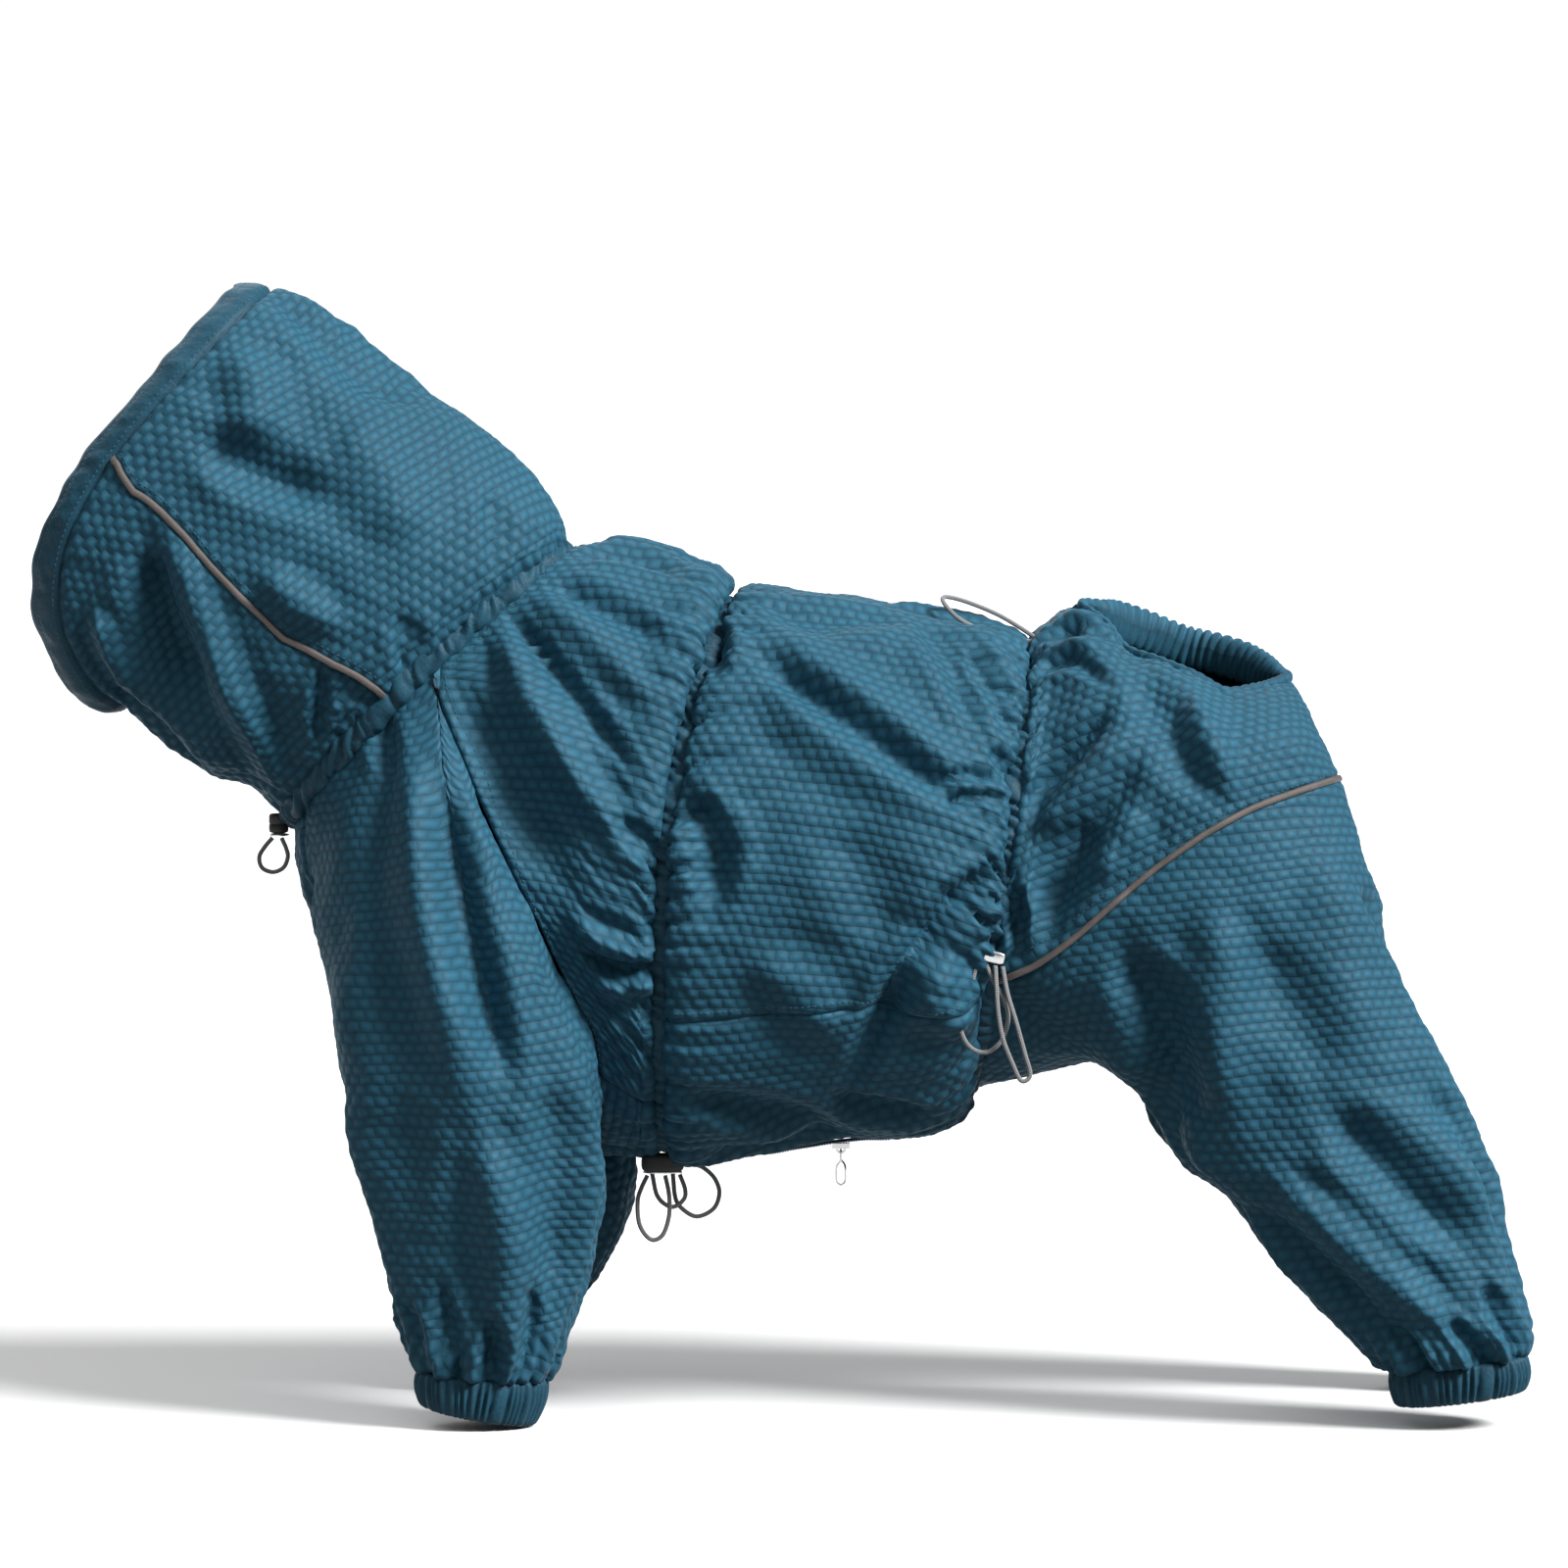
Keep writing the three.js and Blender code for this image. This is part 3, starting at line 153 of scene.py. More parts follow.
# Folds as three places each in one view, then width and depth; a trough is positive and a ridge negative.
SIDE_FOLDS = (
    # hood
    (-366, 92, -330, 74, -292, 56, 12, 4.5),
    (-392, 36, -384, -10, -366, -58, 14, 6),
    (-386, 41, -362, -20, -319, -107, 9, -4),
    (-425, 2, -415, -25, -399, -49, 6, -3),
    (-256, -4, -251, -20, -257, -38, 7, 1.8),
    (-207, 62, -205, 42, -207, 22, 6, 1.8),
    (-297, -32, -300, -52, -301, -76, 4, 3),
    (-350, 140, -334, 112, -345, 88, 13, -3),
    (-292, 100, -264, 70, -250, 30, 16, -3),
    (-330, 20, -312, 2, -285, -12, 10, -3),
    # chest
    (-199, -1, -162, -43, -122, -96, 5, 5),
    (-205, -9, -170, -72, -128, -135, 9, -4.5),
    (-220, -45, -196, -95, -165, -150, 15, 5),
    (-186, 5, -150, -20, -110, -60, 8, -3),
    (-172, 12, -140, -2, -104, -26, 6, 3),
    (-160, -168, -140, -184, -106, -190, 6, -3.5),
    (-152, -206, -130, -206, -108, -200, 6, -3.5),
    (-157, -186, -135, -196, -110, -195, 4, 3.5),
    (-112, -138, -122, -128, -138, -114, 6, 3),
    # front sleeve
    (-247, -69, -240, -170, -211, -278, 13, -5),
    (-211, -278, -197, -350, -198, -421, 12, -4.5),
    (-264, -60, -263, -78, -261, -98, 6, 3),
    (-234, -91, -216, -180, -190, -267, 9, 4.5),
    (-172, -250, -165, -320, -166, -385, 13, 4),
    (-262, -180, -256, -260, -243, -345, 15, 2.5),
    (-250, -380, -244, -405, -236, -432, 4.5, 3.5),
    (-234, -366, -226, -400, -220, -432, 5, 3.5),
    (-205, -385, -203, -405, -208, -432, 4.5, 3),
    (-182, -370, -184, -395, -191, -428, 4.5, 3),
    (-262, -376, -256, -400, -247, -425, 4, 2.5),
    # body
    (-80, -12, -82, -25, -80, -40, 7, 4),
    (-99, -99, -82, -130, -84, -167, 9, 5),
    (-55, -14, 0, -50, 66, -102, 10, -3),
    (-60, -45, -10, -80, 50, -120, 12, -2.5),
    (-58, -30, -5, -65, 58, -111, 7, 2.5),
    (30, -8, 50, -30, 62, -70, 8, 3),
    (57, -20, 70, -45, 80, -78, 5, 3),
    (68, -78, 77, -90, 86, -104, 5, 6),
    (40, -95, 58, -92, 72, -98, 3.5, 2.5),
    (42, -108, 60, -104, 76, -108, 3.5, 2.5),
    (73, -139, 35, -178, -11, -267, 8, 7),
    (24, -188, 38, -212, 53, -236, 13, -4.5),
    (58, -157, 66, -160, 77, -160, 3, 2.5),
    (56, -168, 66, -171, 77, -172, 3, 2.5),
    (58, -180, 67, -183, 78, -184, 3, 2.5),
    (-105, -267, -44, -283, -11, -297, 8, 4),
    (-17, -272, 10, -279, 44, -283, 6, 3.5),
    (-62, -190, -32, -215, -10, -242, 13, -2.5),
    (-20, -120, 5, -150, 10, -190, 16, 2.5),
    # rump
    (97, -40, 116, -31, 136, -44, 4.5, 3),
    (99, -24, 118, -9, 139, -22, 4.5, -2),
    (86, -112, 110, -85, 138, -52, 5, 7),
    (98, -125, 122, -98, 148, -65, 8, -4.5),
    (152, -34, 170, -72, 192, -104, 12, 2.8),
    (178, -47, 188, -76, 200, -100, 8, -3),
    (127, -118, 112, -142, 99, -173, 10, 5),
    (80, -151, 84, -170, 88, -190, 5, 3.5),
    (91, -150, 95, -172, 93, -192, 5, -2.5),
    (150, -108, 140, -130, 122, -152, 10, -3),
    # hind sleeve
    (143, -184, 165, -235, 176, -300, 13, 6),
    (190, -160, 196, -220, 203, -290, 14, -4),
    (253, -272, 292, -312, 336, -355, 13, 5.5),
    (223, -310, 275, -356, 330, -402, 9, -4),
    (204, -322, 259, -371, 306, -414, 7, 3),
    (250, -130, 264, -190, 280, -250, 15, -2.5),
    (215, -175, 235, -220, 252, -262, 13, 2.5),
    (316, -388, 336, -406, 356, -422, 5, 4.5),
    (288, -394, 300, -405, 307, -416, 4, 3),
    (340, -370, 350, -392, 361, -414, 5, 3),
)
TOP_FOLDS = (
    (-160, -25, -130, -20, -98, -28, 7, 3),
    (-158, 22, -128, 18, -96, 26, 7, 3),
    (-150, 0, -120, 3, -92, -4, 8, -2.5),
    (-60, -35, -20, -40, 30, -30, 10, 2.5),
    (-62, 20, -25, 28, 25, 22, 9, 2.5),
    (12, -5, 45, 3, 80, -2, 7, -2),
    (105, -20, 120, -28, 140, -40, 6, 3),
    (105, 18, 122, 27, 142, 38, 6, 3),
    (-330, -20, -290, -28, -240, -22, 10, 3),
    (-325, 22, -285, 26, -235, 20, 9, 3),
    (-300, 0, -270, 4, -240, 0, 8, -2.5),
)
FRONT_FOLDS = (
    (-30, -38, -20, -70, -2, -100, 8, 3.5),
    (28, -35, 22, -68, 6, -98, 8, 3),
    (-40, -150, -25, -180, 0, -200, 9, 3.5),
    (42, -155, 22, -185, -2, -212, 9, 3),
    (-80, -260, -70, -310, -76, -380, 10, 4),
    (76, -250, 82, -310, 74, -375, 10, 4),
)
REAR_FOLDS = (
    (-80, -150, -60, -190, -70, -240, 11, 4),
    (75, -145, 62, -195, 72, -245, 11, 4),
    (-95, -260, -80, -300, -85, -350, 9, 3.5),
    (92, -265, 82, -300, 88, -345, 9, 3.5),
    (-25, -130, -30, -160, -20, -200, 8, 3),
    (22, -130, 30, -165, 20, -200, 8, 3),
    (-88, -290, -78, -340, -84, -400, 8, 3),
)
UNDER_FOLDS = (
    (-200, -30, -165, -14, -125, -22, 8, 3),
    (-195, 28, -160, 16, -128, 24, 8, 3),
    (-90, -34, -50, -22, 0, -30, 9, 3),
    (-85, 30, -45, 24, 5, 32, 9, 3),
)

CORD_DIAMETER = 2.5
CORD_ROUTES = {
    "neck_cord": (
        (-331, 0, -132.2), (-335.5, 0, -137.5), (-338.5, 0, -143), (-337, 0, -149), (-331, 0, -151.5),
        (-325, 0, -149), (-322.5, 0, -143), (-323.5, 0, -138), (-326, 0, -132.2),
    ),
    "chest_cord_front": (
        (-120.5, -17, -320.6), (-124, -18, -328), (-126, -18, -335), (-125.4, -18, -346.5),
        (-122, -18, -353.7), (-117.2, -18, -357), (-111.7, -18, -353.7), (-108.4, -18, -343.2),
        (-108.4, -18, -331.7), (-110.6, -17, -320.6),
    ),
    "chest_cord_middle": (
        (-118, -12.5, -320.1), (-115.5, -13, -331.7), (-111.1, -13, -337.2), (-105.6, -13, -338.8),
        (-100.1, -13, -334.4), (-99.5, -13, -328.9), (-102.5, -12.5, -320.6),
    ),
    "chest_cord_rear": (
        (-106.4, -9.5, -320.6), (-105, -8, -334.4), (-101.2, -8, -340.5), (-93, -8, -344.9),
        (-83.6, -8, -340.5), (-80.3, -8, -331.7), (-83, -8, -323.4), (-89, -9, -317.5), (-94, -10, -315.5),
        (-99, -11, -315),
    ),
    "waist_cord_front": (
        (66.8, -91, -195.3), (70.5, -91.6, -204), (77, -93, -216), (79, -93.5, -226), (75, -94, -238),
        (67, -94, -244), (58, -94, -241), (53, -94, -231), (54.5, -93, -219), (58.5, -92, -208),
        (62.2, -91, -194),
    ),
    "waist_cord_rear": (
        (76, -91.5, -197), (78.5, -95, -211), (83, -98, -226), (88, -99, -244), (91, -99, -256),
        (86, -99, -259), (81, -99, -249), (76, -99, -236), (73.5, -98, -222), (72.5, -96, -208),
        (72, -92, -196.6),
    ),
    "back_cord": (
        (97, -2, -20), (88, -2, -14), (76, -2, -7), (62, -3, -1), (51, -5, 2.5), (45, -9, 3), (46, -13, -1),
        (54, -15, -9), (66, -15, -15), (80, -13, -19), (90, -11, -21), (97, -10, -22),
    ),
}


# ---- curves and surfaces -----------------------------------------------------------------------
def mix(a, b, share):
    """a at share 0 and b at share 1: a + (b - a) * share."""
    return a + (b - a) * share


def smooth(low, high, value):
    """0 below low, 1 above high, and t^2 (3 - 2 t) between."""
    t = np.clip((value - low) / (high - low), 0, 1)
    return t * t * (3 - 2 * t)


def unit(vectors):
    """Vectors divided by their own lengths."""
    return vectors / np.maximum(np.linalg.norm(vectors, axis=-1, keepdims=True), 1e-9)


def at(*parts):
    """Points from their x, y and z arrays or numbers."""
    return np.stack(np.broadcast_arrays(*[np.asarray(part, float) for part in parts]), axis=-1)


def grid(columns, rows):
    """s and t of a grid of columns by rows cells, both from 0 to 1."""
    return np.meshgrid(np.linspace(0, 1, columns + 1), np.linspace(0, 1, rows + 1), indexing="ij")


def round_angles(count):
    """Angles of count places spread evenly round a circle."""
    return np.linspace(0, 2 * np.pi, count, endpoint=False)


def steps_along(path):
    """Lengths of the steps between the places of a path."""
    return np.linalg.norm(np.diff(path, axis=0), axis=1)


def glide(points, share):
    """A uniform Catmull-Rom curve: between p1 and p2 the cubic Hermite whose end slopes are
    (p2 - p0) / 2 and (p3 - p1) / 2, with one mirrored point added at each end."""
    points = np.asarray(points, float)
    share = np.clip(np.asarray(share, float), 0, 1)
    spans = len(points) - 1
    first = np.minimum((share * spans).astype(int), spans - 1)
    w = (share * spans - first)[..., None]
    points = np.concatenate([[2 * points[0] - points[1]], points, [2 * points[-1] - points[-2]]])
    if points.ndim == 2:
        p0, p1, p2, p3 = (points[first + k] for k in range(4))
    else:
        index = np.broadcast_to(first, points.shape[1:-1])[None, ..., None]
        p0, p1, p2, p3 = (np.take_along_axis(points, index + k, 0)[0] for k in range(4))
    t0, t1 = (p2 - p0) / 2, (p3 - p1) / 2
    start, leave = (2 * w**3 - 3 * w**2 + 1) * p1, (w**3 - 2 * w**2 + w) * t0
    return start + leave + (3 * w**2 - 2 * w**3) * p2 + (w**3 - w**2) * t1


def ring(row):
    """An ellipse round the suit: middle + reach cos(turn) + forward bow |sin|^1.5 (1 - low cos), and
    y = -half sin(turn). Turn is 0 degrees at the top and 90 on the left side."""
    top_x, top_z, low_x, low_z, half, bow, low = row
    middle = at((top_x + low_x) / 2, 0, (top_z + low_z) / 2)
    reach = at((top_x - low_x) / 2, 0, (top_z - low_z) / 2)
    forward = at(-reach[2], 0, reach[0]) / np.hypot(reach[0], reach[2])

    def curve(turn):
        up, side = np.cos(np.radians(turn)), np.sin(np.radians(turn))
        lean = bow * np.abs(side) ** 1.5 * (1 - low * up)
        point = middle + up[..., None] * reach + lean[..., None] * forward
        point[..., 1] = -half * side
        return point

    return curve


def skin(rows):
    """A surface that glides from row to row; each row is a curve with the same parameter round it."""

    def surface(u, v):
        u, v = np.broadcast_arrays(np.asarray(u, float), np.asarray(v, float))
        return glide(np.stack([row(u) for row in rows]), v)

    return surface


def slope(surface, u, v):
    """How fast a surface moves along v, by central difference."""
    v = np.asarray(v, float)
    low, high = np.maximum(v - 0.004, 0), np.minimum(v + 0.004, 1)
    return (surface(u, high) - surface(u, low)) / np.asarray(high - low)[..., None]


def trimmed(surface, start_clear, end_clear):
    """A skin cut back at both ends by a clearance, so that a casing fits between it and its neighbour."""

    def cut(turn, share):
        start = start_clear / np.linalg.norm(slope(surface, turn, np.zeros_like(turn, float)), axis=-1)
        end = 1 - end_clear / np.linalg.norm(slope(surface, turn, np.ones_like(turn, float)), axis=-1)
        return surface(turn, np.clip(mix(start, end, share), 0, 1))

    return cut


def locate(surface, place, turn, share):
    """Turn and share at which a skin passes through a place in side view, by Newton's method."""
    for _ in range(12):
        turns, shares = np.array([turn, turn + 0.5, turn]), np.array([share, share, share + 0.01])
        here, by_turn, by_share = surface(turns, shares)
        by_turn, by_share = (by_turn - here) * 2, (by_share - here) * 100
        miss_x, miss_z = place[0] - here[0], place[1] - here[2]
        area = by_turn[0] * by_share[2] - by_turn[2] * by_share[0]
        turn += float(np.clip((miss_x * by_share[2] - miss_z * by_share[0]) / area, -20, 20))
        share += float(np.clip((by_turn[0] * miss_z - by_turn[2] * miss_x) / area, -0.2, 0.2))
        share = min(max(share, 0), 1)
    return turn, share


HOOD_FORM = skin([ring(row) for row in HOOD_RINGS])
CHEST_FORM = skin([ring(row) for row in CHEST_RINGS])
BODY_FORM = skin([ring(row) for row in BODY_RINGS])
HOOD = trimmed(HOOD_FORM, NECK_CLEARANCE, BRIM_WIDTH)
CHEST = trimmed(CHEST_FORM, NECK_CLEARANCE, CHEST_CLEARANCE)
BODY = trimmed(BODY_FORM, CHEST_CLEARANCE, WAIST_CLEARANCE)

HOOD_SPOTS = np.array([locate(HOOD, place, 90, 0.5) for place in HOOD_SEAM])
RAGLAN_SPOTS = np.array([locate(CHEST, place, 100, 0.5) for place in RAGLAN_SEAM])
RAGLAN_SPOTS[0, 1] = 0
BIB_SPOTS = np.array([RAGLAN_SPOTS[-1], *BIB_EDGE])
SIDE_SPOTS = np.array([RAGLAN_SPOTS[-1], (CHEST_SIDE_TURN, 1)])


def hood_seam_turn(share):
    """Degrees from the crown at which the hood's piped seam lies, in straight steps between its spots."""
    turns, shares = HOOD_SPOTS.T
    inside = np.interp(share, shares, turns)
    before = turns[0] + (share - shares[0]) * (turns[1] - turns[0]) / (shares[1] - shares[0])
    after = turns[-1] + (share - shares[-1]) * (turns[-1] - turns[-2]) / (shares[-1] - shares[-2])
    return np.where(share < shares[0], before, np.where(share > shares[-1], after, inside))


def spots(path, share):
    """Turn and share along a seam given by its spots."""
    found = glide(path, share)
    return found[..., 0], np.clip(found[..., 1], 0, 1)


def chest_back(s, t):
    """Back of the chest: from the neck arc and the raglan seam, straight in turn and share to the casing."""
    step = np.abs(s * 2 - 1) * 10
    arc_turn = RAGLAN_SPOTS[0, 0] * np.minimum(step, 4) / 4
    seam_turn, seam_share = spots(RAGLAN_SPOTS, (step - 4) / 6)
    turn = np.where(step < 4, arc_turn, seam_turn)
    share = np.where(step < 4, 0, seam_share)
    side = np.sign(s - 0.5)
    under_neck = END_TUCK * smooth(0.04, 0, t) * smooth(4.2, 3.6, step)
    along = mix(share, 1, t) + END_TUCK * smooth(0.96, 1, t) - under_neck
    return CHEST(side * mix(turn, CHEST_SIDE_TURN * step / 10, t), along)


def chest_bib(s, t):
    """Front of the chest: between the edges of the bib and then the side seams, round under the chest."""
    rim_turn, rim_share = spots(BIB_SPOTS, 1 - t * 13 / 9)
    side_turn, side_share = spots(SIDE_SPOTS, (t * 13 - 9) / 4)
    turn = np.where(t * 13 < 9, rim_turn, side_turn)
    share = np.where(t * 13 < 9, rim_share, side_share)
    share = share + END_TUCK * smooth(0.97, 1, t) - END_TUCK * smooth(0.03, 0, t)
    return CHEST(mix(turn, 360 - turn, s), share)


def hood_crown(s, t):
    """Crown of the hood: between the two piped seams, over the top."""
    return HOOD(mix(-1, 1, s) * hood_seam_turn(t), ends(t))


def hood_throat(s, t):
    """Throat of the hood: between the two piped seams, under the jaw."""
    seam = hood_seam_turn(t)
    return HOOD(mix(seam, 360 - seam, s), ends(t))


def ends(t):
    """t from 0 to 1, carried on by END_TUCK past each end so that the edge lies under its casing."""
    return t + END_TUCK * smooth(0.96, 1, t) - END_TUCK * smooth(0.04, 0, t)


def body_back(s, t):
    """Back of the body, between its side seams."""
    return BODY(mix(-SIDE_SEAM_TURN, SIDE_SEAM_TURN, s), ends(t))


def body_belly(s, t):
    """Belly of the body, between its side seams."""
    return BODY(mix(SIDE_SEAM_TURN, 360 - SIDE_SEAM_TURN, s), ends(t))


def armhole(u):
    """Armhole of the left front sleeve: raglan seam to u 0.3, bib edge to 0.75, then the neck arc."""
    step = (u % 1) * 20
    raglan_turn, raglan_share = spots(RAGLAN_SPOTS, step / 6)
    bib_turn, bib_share = spots(BIB_SPOTS, (step - 6) / 9)
    arc_turn = mix(BIB_NECK_TURN, RAGLAN_SPOTS[0, 0], (step - 15) / 5)
    turn = np.where(step <= 6, raglan_turn, np.where(step <= 15, bib_turn, arc_turn))
    share = np.where(step <= 6, raglan_share, np.where(step <= 15, bib_share, 0))
    return CHEST(turn, share - END_TUCK * smooth(15, 16, step) * smooth(20, 19, step))


def sleeve_ring(row, step=0.0):
    """A ring of a left sleeve: u is 0 on its outer side, then rear, inner side and front. x and z go from
    front to rear with (1 + sin) / 2, y from inner to outer with (1 + cos) / 2, and the inner side drops."""
    front_x, front_z, rear_x, rear_z, outer, inner, drop = row

    def curve(u):
        rear, out = np.sin(2 * np.pi * u), np.cos(2 * np.pi * u)
        return at(
            step + mix(front_x, rear_x, (1 + rear) / 2),
            -mix(inner, outer, (1 + out) / 2),
            mix(front_z, rear_z, (1 + rear) / 2) - drop * (1 - out) / 2,
        )

    return curve


def swelled(row_a, row_b, bulge):
    """A row halfway between two, swelled outwards by bulge (1 + cos 2 pi u) / 2."""

    def curve(u):
        point = (row_a(u) + row_b(u)) / 2
        point[..., 1] -= bulge * (1 + np.cos(2 * np.pi * u)) / 2
        return point

    return curve


def front_sleeve(steps):
    """A left front sleeve: armhole, a swelled row and seven rings, glided through."""
    rings = [sleeve_ring(row, step) for row, step in zip(FRONT_SLEEVE_RINGS, steps)]
    return skin([armhole, swelled(armhole, rings[0], 12), *rings])


def rump_row(station, side):
    """A section of the rump: a quadratic curve from the top edge out and down to the hip seam."""
    x, half, left_z, right_z, hip_x, hip_half, hip_z = station
    top = at(x, half * side, left_z if side < 0 else right_z)
    hip = at(hip_x, hip_half * side, hip_z)
    shoulder = at(mix(x, hip_x, 0.4), hip[1] * 1.02, top[2] - 0.15 * (top[2] - hip[2]))

    def curve(u):
        u = np.asarray(u)[..., None]
        return (1 - u) ** 2 * top + 2 * u * (1 - u) * shoulder + u**2 * hip

    return curve


def rump_form(side):
    """Half of the rump, from the hip ring through its stations; u runs from the top edge to the hip seam."""

    def first(u):
        point = ring(HIP_RING)(HIP_SEAM_TURN * np.asarray(u, float))
        point[..., 1] *= -side
        return point

    return skin([first, *[rump_row(station, side) for station in RUMP_STATIONS]])


RUMP_LEFT, RUMP_RIGHT = rump_form(-1), rump_form(1)


def crotch(share):
    """The crotch seam on the middle plane, from the tail forward."""
    return glide([(x, 0, z) for x, z in reversed(CROTCH_SEAM)], share)


def hip_loop(u):
    """Top of a left hind sleeve: hip seam rearward, crotch seam forward, then up the waist."""
    step = ((u - 0.75) % 1) * 22
    waist = ring(HIP_RING)(mix(180, HIP_SEAM_TURN, np.clip((step - 19) / 3, 0, 1)))
    hip, seam = RUMP_LEFT(np.ones_like(u), np.clip(step / 11, 0, 1)), crotch((step - 11) / 8)
    step = step[..., None]
    return np.where(step <= 11, hip, np.where(step <= 19, seam, waist))


HIND_RINGS = [sleeve_ring(row) for row in HIND_SLEEVE_RINGS]
HIND_SLEEVE = skin([hip_loop, swelled(hip_loop, HIND_RINGS[0], 2), *HIND_RINGS])


# ---- folds, gathers and puckers ----------------------------------------------------------------
def ripple(points, reach, seed):
    """A smooth field, mostly between -1 and 1: seven sines of seeded directions, lengths and phases,
    summed and divided by 3.2."""
    pick = np.random.default_rng(seed)
    directions = unit(pick.normal(size=(7, 3))) * (2 * np.pi / reach) * pick.uniform(0.6, 1.5, (7, 1))
    return np.sin(points @ directions.T + pick.uniform(0, 6.28, 7)).sum(-1) / 3.2


def lumps(points):
    """The slow unevenness that all the cloth shares: ripples 58 and 21 mm long."""
    return 0.8 * ripple(points, 58, 2) + 0.35 * ripple(points, 21, 9)


def fold_height(a, b, fold):
    """Height of one fold: along a three-place curve, -depth exp(-(d / w)^2) with a small lip of 0.3 depth
    at 1.8 w on both sides, faded to 0.15 at the two ends. The depth is held within 0.6 of the width."""
    places = np.array(fold[:6], float).reshape(3, 2)
    width, depth = 0.85 * fold[6], min(max(fold[7], -0.6 * fold[6]), 0.6 * fold[6])
    line = glide(np.column_stack([places, np.zeros(3)]), np.linspace(0, 1, 9))[:, :2]
    reach = 3.2 * width + 2
    low, high = line.min(0) - reach, line.max(0) + reach
    near = (a > low[0]) & (a < high[0]) & (b > low[1]) & (b < high[1])
    height = np.zeros(a.shape)
    if not near.any():
        return height
    pa, pb = a[near], b[near]
    best, share = np.full(pa.shape, 1e9), np.zeros(pa.shape)
    for k in range(8):
        step = line[k + 1] - line[k]
        t = np.clip(((pa - line[k, 0]) * step[0] + (pb - line[k, 1]) * step[1]) / (step @ step), 0, 1)
        away = np.hypot(pa - line[k, 0] - t * step[0], pb - line[k, 1] - t * step[1])
        share = np.where(away < best, (k + t) / 8, share)
        best = np.minimum(best, away)
    fade = smooth(0, 0.22, share) * smooth(1, 0.72, share) * 0.85 + 0.15
    width = width * (0.75 + 0.5 * np.sin(np.pi * share))
    lip = 0.3 * np.exp(-(((best - 1.8 * width) / (0.8 * width)) ** 2))
    height[near] = depth * fade * (lip - np.exp(-((best / width) ** 2)))
    return height


def varied(folds, seed):
    """The same folds, moved by up to 16 mm, turned a little and changed in width and depth."""
    pick = np.random.default_rng(seed)
    folds = np.array(folds, float)
    folds[:, 0:6] += np.tile(pick.uniform(-11, 11, (len(folds), 2)), 3) + pick.uniform(-5, 5, (len(folds), 6))
    folds[:, 6] *= pick.uniform(0.85, 1.25, len(folds))
    folds[:, 7] *= pick.uniform(0.7, 1.1, len(folds))
    return folds


FOLD_VIEWS = (
    (0, 2, np.array((0, -1, 0)), SIDE_FOLDS),
    (0, 2, np.array((0, 1, 0)), varied(SIDE_FOLDS, 5)),
    (0, 1, np.array((0, 0, 1)), TOP_FOLDS),
    (1, 2, np.array((-1, 0, 0)), FRONT_FOLDS),
    (1, 2, np.array((1, 0, 0)), REAR_FOLDS),
    (0, 1, np.array((0, 0, -1)), UNDER_FOLDS),
)


def fold_field(points, outward):
    """Sum of the folds of all views, each faded in as the cloth faces its view: smooth(0.05, 0.6, facing)."""
    height = np.zeros(points.shape[:-1])
    for first, second, view, folds in FOLD_VIEWS:
        facing = smooth(0.05, 0.6, outward @ view)
        if facing.max() <= 0:
            continue
        total = np.zeros(points.shape[:-1])
        for fold in folds:
            total += fold_height(points[..., first], points[..., second], fold)
        height += total * facing
    return height


def gather_field(across, away, reach, seed):
    """Gathers that leave a casing: ridged waves 9, 15 and 27 mm long, with narrow grooves and slowly changing
    strength, that die off as exp(-away / (reach (0.4 + length / 20)))."""
    pick = np.random.default_rng(seed)
    total = np.zeros(across.shape)
    for length, share in ((9.0, 0.32), (15.0, 0.5), (27.0, 0.5)):
        drift = pick.uniform(-0.3, 0.3) * away + 4.0 * np.sin(across / (2.3 * length) + pick.uniform(0, 6))
        wave = np.sin(np.pi * (across + drift) / length + pick.uniform(0, 6.28))
        strong = 0.7 + 0.5 * np.sin(across / (1.7 * length) + pick.uniform(0, 6))
        ridged = share * strong * (1 - 2.2 * np.exp(-((wave / 0.42) ** 2)))
        total += ridged * np.exp(-away / (reach * (0.4 + length / 20)))
    return total


LAYING_ROUNDS = 80


